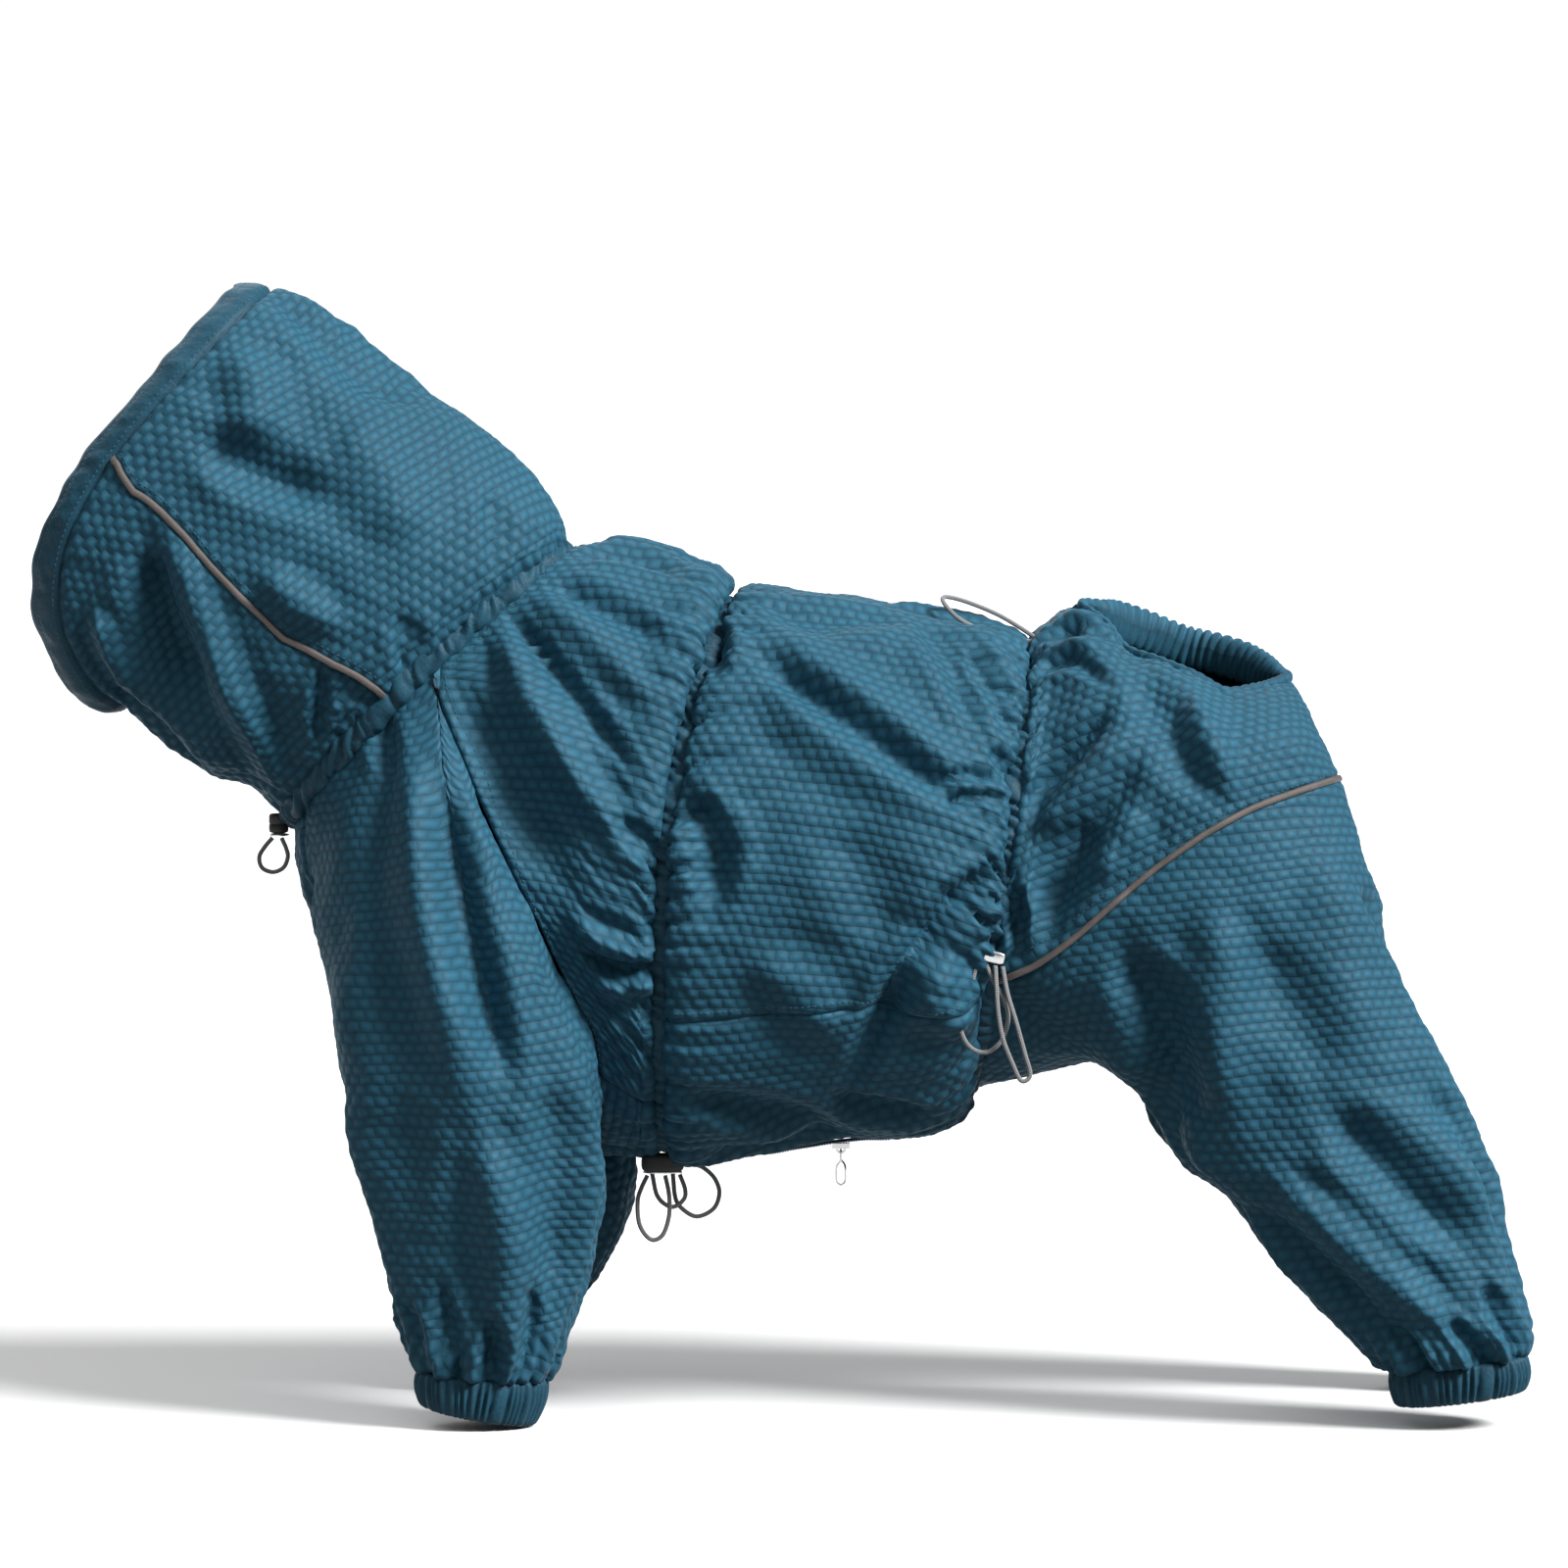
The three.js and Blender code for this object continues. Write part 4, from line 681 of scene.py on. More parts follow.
def laid_flat(points):
    """Lays a grid of cloth flat with its threads kept at their lengths: every link of a coarse grid pulls its
    two ends to its own length, flat = V+ sum(w L d / |d|), and the fine grid glides through the result.
    Returns lengths across and along, with the middle column upright."""
    pick = [np.linspace(0, size - 1, min(size, 20)).round().astype(int) for size in points.shape[:2]]
    coarse = points[np.ix_(*pick)]
    flat = np.stack(arcs(points), -1)[np.ix_(*pick)].reshape(-1, 2)
    spot = np.arange(len(flat)).reshape(coarse.shape[:2])
    ends_a = (spot[1:], spot[:, 1:], spot[1:, 1:], spot[1:, :-1], spot[2:], spot[:, 2:])
    ends_b = (spot[:-1], spot[:, :-1], spot[:-1, :-1], spot[:-1, 1:], spot[:-2], spot[:, :-2])
    a, b = (np.concatenate([part.ravel() for part in parts]) for parts in (ends_a, ends_b))
    solid = coarse.reshape(-1, 3)
    length = np.linalg.norm(solid[a] - solid[b], axis=1)
    weight = 1 / np.maximum(length, 0.5)
    pull = np.zeros((len(flat), len(flat)))
    np.add.at(pull, (a, a), weight)
    np.add.at(pull, (b, b), weight)
    np.add.at(pull, (a, b), -weight)
    np.add.at(pull, (b, a), -weight)
    settle = np.linalg.pinv(pull)
    for _ in range(LAYING_ROUNDS):
        force = np.zeros_like(flat)
        step = unit(flat[a] - flat[b]) * (weight * length)[:, None]
        np.add.at(force, a, step)
        np.add.at(force, b, -step)
        flat = settle @ force
    flat = flat.reshape(*coarse.shape[:2], 2)
    up = unit(flat[len(flat) // 2, -1] - flat[len(flat) // 2, 0])
    flat = np.stack([flat @ (up[1], -up[0]), flat @ up], -1)
    for size in points.shape[:2]:
        share = np.linspace(0, 1, size)[:, None] + np.zeros(flat.shape[1])
        flat = glide(np.broadcast_to(flat[:, None], (len(flat), *share.shape, 2)), share).swapaxes(0, 1)
    return flat[..., 0], flat[..., 1]


def pucker_field(across, along, width, row):
    """Staggered bubbles: cos(2 pi across / width) cos(pi along / row)."""
    return np.cos(2 * np.pi * across / width) * np.cos(np.pi * along / row)


# ---- meshes ------------------------------------------------------------------------------------
def write_mesh(name, shape, finish, stands_for=(), slot=None, body="garment"):
    """Puts a shape, which is points (mm), loops, face starts and UVs (one set, or several by name), into a
    smooth-shaded mesh of a finish, and rides it on a body."""
    points, loops, starts, uvs = shape
    mesh = bpy.data.meshes.new(name)
    mesh.vertices.add(len(points))
    mesh.vertices.foreach_set("co", (np.asarray(points, np.float32) * MM).ravel())
    mesh.loops.add(len(loops))
    mesh.loops.foreach_set("vertex_index", np.asarray(loops, np.int32))
    mesh.polygons.add(len(starts))
    mesh.polygons.foreach_set("loop_start", np.asarray(starts, np.int32))
    mesh.polygons.foreach_set("use_smooth", np.ones(len(starts), bool))
    mesh.update(calc_edges=True)
    for layer, coordinates in (uvs if isinstance(uvs, dict) else {"cloth": uvs}).items():
        mesh.uv_layers.new(name=layer).data.foreach_set("uv", np.asarray(coordinates, np.float32).ravel())
    mesh.validate()
    mesh.materials.append(finish_named(finish))
    piece = bpy.data.objects.new(name, mesh)
    bpy.context.scene.collection.objects.link(piece)
    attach(piece, body)
    if stands_for:
        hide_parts(*stands_for)
    return piece


def joined(parts):
    """Several shapes put together as one."""
    moved_on, point_count, loop_count = [], 0, 0
    for points, loops, starts, uvs in parts:
        moved_on.append((points, loops + point_count, starts + loop_count, uvs))
        point_count += len(points)
        loop_count += len(loops)
    return [np.concatenate(column) for column in zip(*moved_on)]


def arcs(points):
    """Lengths along both directions of a grid: across from its middle column and along from its first row."""
    across = np.zeros(points.shape[:2])
    across[1:] = np.cumsum(np.linalg.norm(np.diff(points, axis=0), axis=-1), axis=0)
    across -= across[len(across) // 2]
    along = np.zeros(points.shape[:2])
    along[:, 1:] = np.cumsum(np.linalg.norm(np.diff(points, axis=1), axis=-1), axis=1)
    return across, along


def grid_normals(points, closed, sign):
    """Unit cross product of the grid's two differences; a closed grid repeats its first column at its end."""
    if closed:
        around = np.concatenate([points[-2:-1], points, points[1:2]])
        by_i = around[2:] - around[:-2]
    else:
        by_i = np.gradient(points, axis=0)
    by_j = np.gradient(points, axis=1)
    return unit(np.cross(by_i, by_j)) * sign


BLOCK = 3  # cells of the grid in a row of the inner layer's faces


def wall(outer, inner, across, along, closed, sign):
    """A solid wall of cloth. The outer layer has a quad for each cell of the grid, the inner layer one face
    for each BLOCK by BLOCK cells with every border point kept, and a rim at each border joins the two: four
    of them, or two when the grid is closed and its last column is its first. Returns points, loops, starts
    and the two UV layers."""
    n, m = outer.shape[0] - 1, outer.shape[1] - 1
    columns = n if closed else n + 1
    outer_id = (np.arange(n + 1) % columns)[:, None] * (m + 1) + np.arange(m + 1)
    used = np.zeros((n + 1, m + 1), bool)
    used[::BLOCK, ::BLOCK] = True
    used[:, [0, m]] = True
    if not closed:
        used[[0, n], :] = True
    inner_id = np.full((n + 1, m + 1), -1)
    inner_id[:columns][used[:columns]] = np.arange(used[:columns].sum()) + columns * (m + 1)
    if closed:
        inner_id[n] = inner_id[0]
    ids = np.stack([outer_id, inner_id])
    points = np.concatenate([outer[:columns].reshape(-1, 3), inner[:columns][used[:columns]]])

    faces = []

    def quads(corners):
        whole = np.broadcast_arrays(*[part for corner in corners for part in corner])
        i, j, layer = (np.stack(whole[k::3], -1) for k in range(3))
        faces.append((i, j, layer, np.full(len(i), 4)))

    i, j = (part.ravel() for part in np.mgrid[0:n, 0:m])
    zero, one = np.zeros(1, int), np.ones(1, int)
    quads([(i, j, zero), (i + 1, j, zero), (i + 1, j + 1, zero), (i, j + 1, zero)])
    i = np.arange(n)
    quads([(i, zero, zero), (i, zero, one), (i + 1, zero, one), (i + 1, zero, zero)])
    quads([(i, m * one, zero), (i + 1, m * one, zero), (i + 1, m * one, one), (i, m * one, one)])
    if not closed:
        j = np.arange(m)
        quads([(zero, j, zero), (zero, j + 1, zero), (zero, j + 1, one), (zero, j, one)])
        quads([(n * one, j, zero), (n * one, j, one), (n * one, j + 1, one), (n * one, j + 1, zero)])
    steps = np.arange(BLOCK)
    round_i = np.concatenate([0 * steps, steps, 0 * steps + BLOCK, BLOCK - steps])
    round_j = np.concatenate([steps, 0 * steps + BLOCK, BLOCK - steps, 0 * steps])
    block_i, block_j = (part.ravel()[:, None] * BLOCK for part in np.mgrid[0 : n // BLOCK, 0 : m // BLOCK])
    i, j = block_i + round_i, block_j + round_j
    keep = used[i, j]
    faces.append((i[keep], j[keep], np.ones(keep.sum(), int), keep.sum(1)))

    i, j, layer = (np.concatenate([np.ravel(face[k]) for face in faces]) for k in range(3))
    counts = np.concatenate([face[3] for face in faces])
    starts = np.concatenate([[0], np.cumsum(counts)[:-1]])
    sizes = [len(np.ravel(face[0])) for face in faces]
    band = np.repeat(np.arange(len(faces)), sizes)

    last = len(faces) - 1
    bake = np.empty((len(i), 2))
    bake[:, 0] = 0.005 + 0.575 * i / n
    bake[:, 1] = 0.005 + 0.90 * j / m
    bake[band == last, 0] = 0.60 + 0.39 * i[band == last] / n
    for rim in range(1, last):
        here = band == rim
        run = i[here] / n if rim < 3 else j[here] / m
        bake[here] = np.column_stack([0.005 + 0.98 * run, 0.915 + 0.02 * rim + 0.012 * layer[here]])
    cloth = np.column_stack([across[i, j], along[i, j]]) * MM
    loops = ids[layer, i, j]
    if sign < 0:
        loops, cloth, bake = (flipped(part, starts, counts) for part in (loops, cloth, bake))
    return points, loops, starts, {"cloth": cloth, "OFBake": bake}


def flipped(values, starts, counts):
    """Loop values with the order inside each face turned round: place k goes to start + count - 1 - k."""
    first = np.repeat(starts, counts)
    size = np.repeat(counts, counts)
    return values[2 * first + size - 1 - np.arange(len(values))]


def whole_blocks(length):
    """The number of grid steps nearest to the length that BLOCK divides, so that the wall's blocks fill it."""
    return BLOCK * max(2, round(length / GRID_SPACING / BLOCK))


def cloth_grid(surface):
    """A surface sampled on a grid whose mean spacing is GRID_SPACING."""
    rough = surface(*grid(60, 40))
    wide = np.linalg.norm(np.diff(rough, axis=0), axis=-1).sum(0).mean()
    long = np.linalg.norm(np.diff(rough, axis=1), axis=-1).sum(1).mean()
    return surface(*grid(whole_blocks(wide), whole_blocks(long)))


SEWN = {}  # each sewn piece's outer grid and its outward directions, for the trims that lie on it
BORDERS = ("start", "end", "first", "last")  # of a panel's grid: t 0 and 1, then s 0 and 1
SEAM_SINK, SEAM_WIDTH = 1.3, 1.7  # how deep a seam is drawn in and how wide
SEAM_LIP, SEAM_LIP_PLACE, SEAM_LIP_WIDTH = 0.5, 4.2, 2.2  # the roll of cloth beside it


def panel(name, surface, sign, closed=False, gathers=None, seams=BORDERS, seed=1, right=False, **cut):
    """A sewn panel of puckered cloth on a surface. Its wall is pushed along its normals by the folds, by
    gathers that die away from the borders named in gathers (border: height, reach), by the puff
    p (d / q) exp(1 - d / q) beside the borders named in puffs (border: p, q), by a slow ripple, by the sunk
    seams at the borders named in seams, and by the bubbles of the weave, which lie turned by grain degrees.
    Borders in tucks (border: length) run on by that length under their neighbour: gathers are held flat
    there, and at a tucked end so are folds and ripple. The folds fade out at the pinned borders. A right
    panel is the left one's mirror image."""
    sizes = bpy.context.scene.suit_cloth
    tucks = cut.get("tucks", {})
    points = cloth_grid(surface)
    if right:
        points = points * (1, -1, 1)
        sign = -sign
    across, along = arcs(points)
    flat = np.stack(laid_flat(points), -1)
    away = dict(zip(BORDERS, (along, along[:, -1:] - along, across - across[:1], across[-1:] - across)))
    outward = grid_normals(points, closed, sign)
    height = sizes.fold_strength * fold_field(points, outward)
    for border in cut.get("pinned", ()):
        height *= 1 - np.exp(-((away[border] / 7) ** 2))
    height += lumps(points)
    for k, (border, (tall, reach)) in enumerate((gathers or {}).items()):
        run, beside = (across, BORDERS[2:]) if border in BORDERS[:2] else (along, BORDERS[:2])
        apart = 99 if closed else np.minimum(away[beside[0]], away[beside[1]])
        held = smooth(0, 5, away[border]) if border in tucks else 1.0
        waves = tall * held * gather_field(run, away[border], reach, seed + 11 * k)
        height += waves * (1 - np.exp(-((apart / 9) ** 2)))
    if "end" in tucks:
        height *= smooth(0, 4, away["end"])
    for border, (tall, reach) in cut.get("puffs", {}).items():
        height += tall * away[border] / reach * np.exp(1 - away[border] / reach)
    for border, length in tucks.items():
        near = np.clip(1 - away[border] / (2.5 * length), 0, 1)[..., None] ** 2
        last, before, inward = (-1, -4, 1.6) if border == "end" else (0, 3, 0.8)
        edge = unit(points[:, last] - points[:, before])
        points = points + edge[:, None] * near * length - outward * near * inward
    points = points + outward * height[..., None]
    outward = grid_normals(points, closed, sign)
    inner = points - outward * sizes.thickness / MM
    sunk = np.zeros(points.shape[:2])
    for border in seams:
        sunk -= SEAM_SINK * np.exp(-((away[border] / SEAM_WIDTH) ** 2))
        sunk += SEAM_LIP * np.exp(-(((away[border] - SEAM_LIP_PLACE) / SEAM_LIP_WIDTH) ** 2))
    calm = 1 - np.exp(-((np.minimum.reduce([away[border] for border in seams]) / 3.5) ** 2))
    grain = np.radians(cut.get("grain", 0))
    flat = flat @ np.array([[np.cos(grain), -np.sin(grain)], [np.sin(grain), np.cos(grain)]])
    bubbles = pucker_field(*np.moveaxis(flat, -1, 0), sizes.pucker_width / MM, sizes.pucker_row / MM)
    bubbles = bubbles * (0.85 + 0.3 * ripple(points, 33, seed + 3)) * calm
    outer = points + outward * (sunk + sizes.pucker_height / MM * bubbles)[..., None]
    inner = inner + outward * np.minimum(sunk, 0)[..., None]
    shape = wall(outer, inner, flat[..., 0], flat[..., 1], closed, sign)
    SEWN[name] = outer, outward
    piece = write_mesh(name, shape, "puckered_cloth", cut["stands_for"], "cloth")
    sheet_of(flat)


def sheet_of(flat):
    """Works out a flat cut's two sides and the area of its cells, and returns nothing."""
    wide, long = np.ptp(flat.reshape(-1, 2), axis=0)
    diagonals = flat[1:, 1:] - flat[:-1, :-1], flat[1:, :-1] - flat[:-1, 1:]
    (ax, ay), (bx, by) = (np.moveaxis(part, -1, 0) for part in diagonals)
    area = np.abs(ax * by - ay * bx).sum() / 2
    area = float(np.clip(area, 0.31 * wide * long, 0.999 * wide * long))


def tube(path, section, closed, reference=None):
    """A section carried along a path: path + a across + b out, where the section is an array of (a, b) for
    each station or one for all. Across is tangent x reference, out is across x tangent. Open ends are capped
    with one face each. Returns points in millimetres, loops, starts and UVs (length along, length round)
    in metres."""
    path = np.asarray(path, float)
    count = len(path)
    if closed:
        tangent = unit(np.roll(path, -1, 0) - np.roll(path, 1, 0))
    else:
        tangent = unit(np.gradient(path, axis=0))
    reference = np.broadcast_to(np.array((0, 1, 0)) if reference is None else reference, path.shape)
    across = unit(np.cross(tangent, reference))
    out = np.cross(across, tangent)
    section = np.asarray(section, float)
    if section.ndim == 2:
        section = np.broadcast_to(section, (count, *section.shape))
    sides = section.shape[1]
    points = path[:, None] + section[..., :1] * across[:, None] + section[..., 1:] * out[:, None]
    spans = count if closed else count - 1
    i, k = (part.ravel() for part in np.mgrid[0:spans, 0:sides])
    corners_i = np.stack([i, i, i + 1, i + 1], -1)
    corners_k = np.stack([k, k + 1, k + 1, k], -1)
    loops = ((corners_i % count) * sides + corners_k % sides).ravel()
    lengths = np.concatenate([[0], np.cumsum(steps_along(path))])
    lengths = np.append(lengths, lengths[-1] + np.linalg.norm(path[0] - path[-1]))
    girth = np.linalg.norm(np.diff(section[0], axis=0, append=section[0][:1]), axis=1).sum()
    uvs = np.column_stack([lengths[corners_i.ravel()], girth * corners_k.ravel() / sides]) * MM
    starts = np.arange(0, len(loops), 4)
    if not closed:
        caps = np.concatenate([np.arange(sides)[::-1], (count - 1) * sides + np.arange(sides)])
        uvs = np.concatenate([uvs, 0.0001 * np.column_stack([np.arange(len(caps))] * 2)])
        starts = np.concatenate([starts, [len(loops), len(loops) + sides]])
        loops = np.concatenate([loops, caps])
    return points.reshape(-1, 3), loops, starts, uvs


def rounded(half, deep, sides, power=1.0):
    """An oval section: (half sgn(cos) |cos|^power, deep sgn(sin) |sin|^power)."""
    turn = round_angles(sides)
    c, s = np.cos(turn), np.sin(turn)
    return np.column_stack([half * np.sign(c) * np.abs(c) ** power, deep * np.sign(s) * np.abs(s) ** power])


def turned(profile, sides, centre):
    """A profile of (radius, height) turned about an upright axis; its two ends lie on the axis."""
    profile = np.asarray(profile, float)
    inside = profile[1:-1]
    turn = round_angles(sides)
    points = at(inside[:, :1] * np.cos(turn), inside[:, :1] * np.sin(turn), inside[:, 1:]).reshape(-1, 3)
    points = np.concatenate([points, [[0, 0, profile[0, 1]], [0, 0, profile[-1, 1]]]]) + centre
    rows = len(inside)
    j, k = (part.ravel() for part in np.mgrid[0 : rows - 1, 0:sides])
    after = (k + 1) % sides
    j = j * sides
    loops = np.stack([j + k, j + after, j + sides + after, j + sides + k], -1).ravel()
    k = np.arange(sides)
    after = (k + 1) % sides
    top = (rows - 1) * sides
    low = np.stack([np.full(sides, rows * sides), after, k], -1).ravel()
    high = np.stack([np.full(sides, rows * sides + 1), top + k, top + after], -1).ravel()
    starts = np.concatenate([np.arange(0, len(loops), 4), len(loops) + np.arange(0, len(low) + len(high), 3)])
    loops = np.concatenate([loops, low, high])
    spot = points[loops] - centre
    uvs = np.column_stack([np.arctan2(spot[:, 1], spot[:, 0]) * 5, spot[:, 2]]) * MM
    return points, loops, starts, uvs


def stitch_row(path, outward, pitch, length, radius):
    """Stitches along a path: six-sided beads, each length long with pointed ends, pitch apart, lying on the
    cloth. Points are centre + lengthwise a + sideways b + outward c of one bead."""
    lengths = np.concatenate([[0], np.cumsum(steps_along(path))])
    places = np.arange(pitch / 2, lengths[-1] - pitch / 2, pitch)

    def along(where, values):
        return np.column_stack([np.interp(where, lengths, column) for column in values.T])

    centre = along(places, path)
    out = unit(along(places, outward))
    way = unit(along(places + 0.5, path) - centre)
    side = np.cross(way, out)
    turn = round_angles(6)
    ring_a = np.repeat([-0.3, 0.3], 6) * length
    bead = np.column_stack([ring_a, np.tile(np.cos(turn), 2) * radius, np.tile(np.sin(turn), 2) * radius])
    bead = np.concatenate([bead, [[-length / 2, 0, -radius], [length / 2, 0, -radius]]])
    points = centre[:, None] + bead[:, :1] * way[:, None] + bead[:, 1:2] * side[:, None]
    points = points + bead[:, 2:] * out[:, None]
    k = np.arange(6)
    after = (k + 1) % 6
    quads = np.stack([k, k + 6, after + 6, after], -1).ravel()
    low = np.stack([np.full(6, 12), k, after], -1).ravel()
    high = np.stack([np.full(6, 13), after + 6, k + 6], -1).ravel()
    one = np.concatenate([quads, low, high])
    starts_one = np.concatenate([np.arange(0, 24, 4), 24 + np.arange(0, 36, 3)])
    loops = (np.arange(len(centre))[:, None] * 14 + one).ravel()
    starts = (np.arange(len(centre))[:, None] * len(one) + starts_one).ravel()
    uvs = np.tile(bead[one, :2] * MM, (len(centre), 1))
    return points.reshape(-1, 3), loops, starts, uvs


# ---- finishes ----------------------------------------------------------------------------------
class Value:
    """A socket's number, whose sums, products and powers make Math nodes."""

    def __init__(self, finish, socket):
        self.finish, self.socket = finish, socket

    def _math(self, operation, *values):
        return self.finish.node("ShaderNodeMath", {"operation": operation}, dict(enumerate(values)))

    def __add__(self, other):
        return self._math("ADD", self, other)

    def __radd__(self, other):
        return self._math("ADD", other, self)

    def __sub__(self, other):
        return self._math("SUBTRACT", self, other)

    def __rsub__(self, other):
        return self._math("SUBTRACT", other, self)

    def __mul__(self, other):
        return self._math("MULTIPLY", self, other)

    def __rmul__(self, other):
        return self._math("MULTIPLY", other, self)

    def __truediv__(self, other):
        return self._math("DIVIDE", self, other)

    def __pow__(self, power):
        return self._math("POWER", self, power)

    def cos(self):
        return self._math("COSINE", self)

    def size(self):
        return self._math("ABSOLUTE", self)

    def whole(self):
        return self._math("FLOOR", self)

    def part(self):
        return self._math("FRACT", self)

    def clamp(self):
        return self.finish.node("ShaderNodeClamp", {}, {0: self})


class Finish:
    """A material under construction."""

    def __init__(self, name):
        self.material = bpy.data.materials.new(name)
        self.material.use_nodes = True
        self.tree = self.material.node_tree
        self.tree.nodes.clear()

    def node(self, kind, settings=None, sockets=None, out=0):
        """Adds a node, sets its settings, then its sockets' values or links, and returns one of its outputs."""
        made = self.tree.nodes.new(kind)
        for key, value in (settings or {}).items():
            setattr(made, key, value)
        for key, value in (sockets or {}).items():
            if isinstance(value, Value):
                self.tree.links.new(value.socket, made.inputs[key])
            else:
                made.inputs[key].default_value = value
        return Value(self, made.outputs[out])

    def split(self, vector):
        """The three numbers of a vector."""
        first = self.node("ShaderNodeSeparateXYZ", {}, {0: vector})
        return [Value(self, output) for output in first.socket.node.outputs]

    def lengths(self):
        """The two lengths of the piece's UV map, in metres."""
        return self.split(self.node("ShaderNodeUVMap", {"uv_map": "cloth"}))[:2]

    def noise(self, scale, detail=2.0):
        """Noise of the place on the piece, scale in turns a metre."""
        place = self.node("ShaderNodeTexCoord", out="Object")
        sockets = {"Vector": place, "Scale": scale, "Detail": detail, "Roughness": 0.55}
        return self.node("ShaderNodeTexNoise", {"noise_dimensions": "3D"}, sockets)

    def blend(self, share, low, high):
        """A colour between two, linear in share."""
        low, high = ((*part, 1.0) if isinstance(part, tuple) else part for part in (low, high))
        return self.node("ShaderNodeMix", {"data_type": "RGBA"}, {0: share, 6: low, 7: high}, out=2)

    def shades(self, share, colour, low, high):
        """One colour between low times and high times itself."""
        return self.blend(share, *(tuple(float(part) * factor for part in colour) for factor in (low, high)))

    def bump(self, height, distance, strength):
        """A normal tilted by a height whose full range is the distance, in metres."""
        return self.node("ShaderNodeBump", {}, {"Height": height, "Distance": distance, "Strength": strength})

    def surface(self, **sockets):
        """Ends the material in a Principled shader; a keyword's underscores stand for spaces."""
        named = {key.replace("_", " "): value for key, value in sockets.items()}
        for key, value in named.items():
            if isinstance(value, tuple):
                named[key] = (*value, 1.0)
        shader = self.node("ShaderNodeBsdfPrincipled", {}, named)
        output = self.tree.nodes.new("ShaderNodeOutputMaterial")
        self.tree.links.new(shader.socket, output.inputs["Surface"])
        return self.material


def turns(length, pitch):
    """A length as an angle: 2 pi length / pitch."""
    return length * (2 * math.pi / pitch)


def cross_weave(across, along, pitch):
    """Threads over and under one another: cos(2 pi across / pitch) cos(2 pi along / pitch)."""
    return turns(across, pitch).cos() * turns(along, pitch).cos()


NYLON_COAT = {"Specular_IOR_Level": 0.20, "Sheen_Weight": 0.04, "Sheen_Roughness": 0.35}


def puckered_cloth(finish, sizes):
    """Coated nylon woven so that it bubbles: staggered cells with a fine crinkle and weave. Its colour carries
    painted light on the tops of the cells and crinkles and painted shade in the gaps between them, over slow
    patches of random tone.
    """
    across, along = finish.lengths()
    drift = finish.noise(70.0, 1.0) - 0.5
    a = across * (1 / sizes.pucker_width) + drift * 0.30
    b = along * (1 / sizes.pucker_row) + drift * 0.34
    row = (b + 0.5).whole()
    b = (b - row) * 2
    a = a + (row * 0.5).part()
    a = (a - (a + 0.5).whole()) * 2
    crinkle = finish.noise(620.0, 3.0)
    weave = cross_weave(across, along, 0.00075)
    patch = finish.noise(14.0)
    top = (1 - a.size() ** 1.9 * 0.85) * (1 - b.size() ** 1.6)
    # painted light and shade: lighter where cells and crinkles stand high, darker in the gaps between them;
    # patch is random tone
    share = (top * 0.55 + patch * 0.35 + crinkle * 0.20 - 0.08).clamp()
    colour = finish.shades(share, sizes.cloth_colour, 0.44, 1.26)
    height = (top**0.9) * 0.62 + crinkle * 0.20 + weave * 0.01
    roughness = 0.60 - top * 0.06 + crinkle * 0.10
    return finish.surface(
        Base_Color=colour,
        Roughness=roughness,
        Normal=finish.bump(height, 0.0012, sizes.bump_strength),
        **NYLON_COAT,
    )


def shaded_gathered_cloth(finish, sizes):
    """The same nylon drawn up in a casing: no cells, close crinkles along the gathers. Its colour is painted
    shade, held darker than the shell cloth for the casings, cuffs and brim band, with painted light on the
    crinkle tops and slow patches of random tone.
    """
    across, along = finish.lengths()
    crinkle = finish.noise(420.0, 3.0)
    patch = finish.noise(45.0)
    weave = cross_weave(across, along, 0.0008)
    # painted shade: darker than the shell cloth throughout, with painted light on the crinkle tops; patch is
    # random tone
    share = (patch * 0.7 + crinkle * 0.45 - 0.15).clamp()
    return finish.surface(
        Base_Color=finish.shades(share, sizes.cloth_colour, 0.30, 0.95),
        Roughness=0.46 + crinkle * 0.12,
        Normal=finish.bump(crinkle * 0.6 + weave * 0.03, 0.0009, 0.8),
        **NYLON_COAT,
    )


def reflective_piping(finish, sizes):
    """Grey-brown reflective piping: a fine cross weave under a dull metallic coat."""
    along, around = finish.lengths()
    weave = cross_weave(along, around, 0.0009)
    wear = finish.noise(180.0, 3.0)
    return finish.surface(
        Base_Color=finish.shades((wear * 0.8 + weave * 0.1).clamp(), sizes.piping_colour, 0.7, 1.35),
        Roughness=0.38 + wear * 0.2,
        Metallic=0.25,
        Normal=finish.bump(weave * 0.4 + wear * 0.4, 0.0003, 0.7),
    )


def braided_cord(finish, sizes):
    """Round braid: two families of strands that cross, from the length along and round the cord."""
    along, around = finish.lengths()
    one = (turns(along, 0.0024) + turns(around, 0.00196)).cos()
    two = (turns(along, 0.0024) - turns(around, 0.00196)).cos()
    braid = (one * two * 0.5 + 0.5).clamp()
    fuzz = finish.noise(900.0)
    return finish.surface(
        Base_Color=finish.shades((braid * 0.6 + fuzz * 0.4).clamp(), sizes.cord_colour, 0.45, 1.3),
        Roughness=0.42 + fuzz * 0.2,
        Normal=finish.bump(braid * 0.8 + fuzz * 0.2, 0.0005, 0.9),
        Sheen_Weight=0.3,
    )


def black_plastic(finish, sizes):
    """Moulded black plastic with a fine grain and handling wear."""
    grain, wear = finish.noise(1500.0), finish.noise(120.0, 3.0)
    return finish.surface(
        Base_Color=finish.blend(wear, (0.006, 0.006, 0.007), (0.024, 0.025, 0.028)),
        Roughness=0.26 + wear * 0.2,
        Normal=finish.bump(grain, 0.00012, 0.6),
        Specular_IOR_Level=0.55,
    )


def bright_metal(finish, sizes):
    """Die-cast, plated metal with tumbling marks."""
    marks, dull = finish.noise(1100.0, 3.0), finish.noise(150.0)
    return finish.surface(
        Base_Color=finish.blend(dull, (0.50, 0.50, 0.51), (0.74, 0.74, 0.75)),
        Roughness=0.20 + dull * 0.18,
        Metallic=1.0,
        Normal=finish.bump(marks, 0.0001, 0.5),
    )


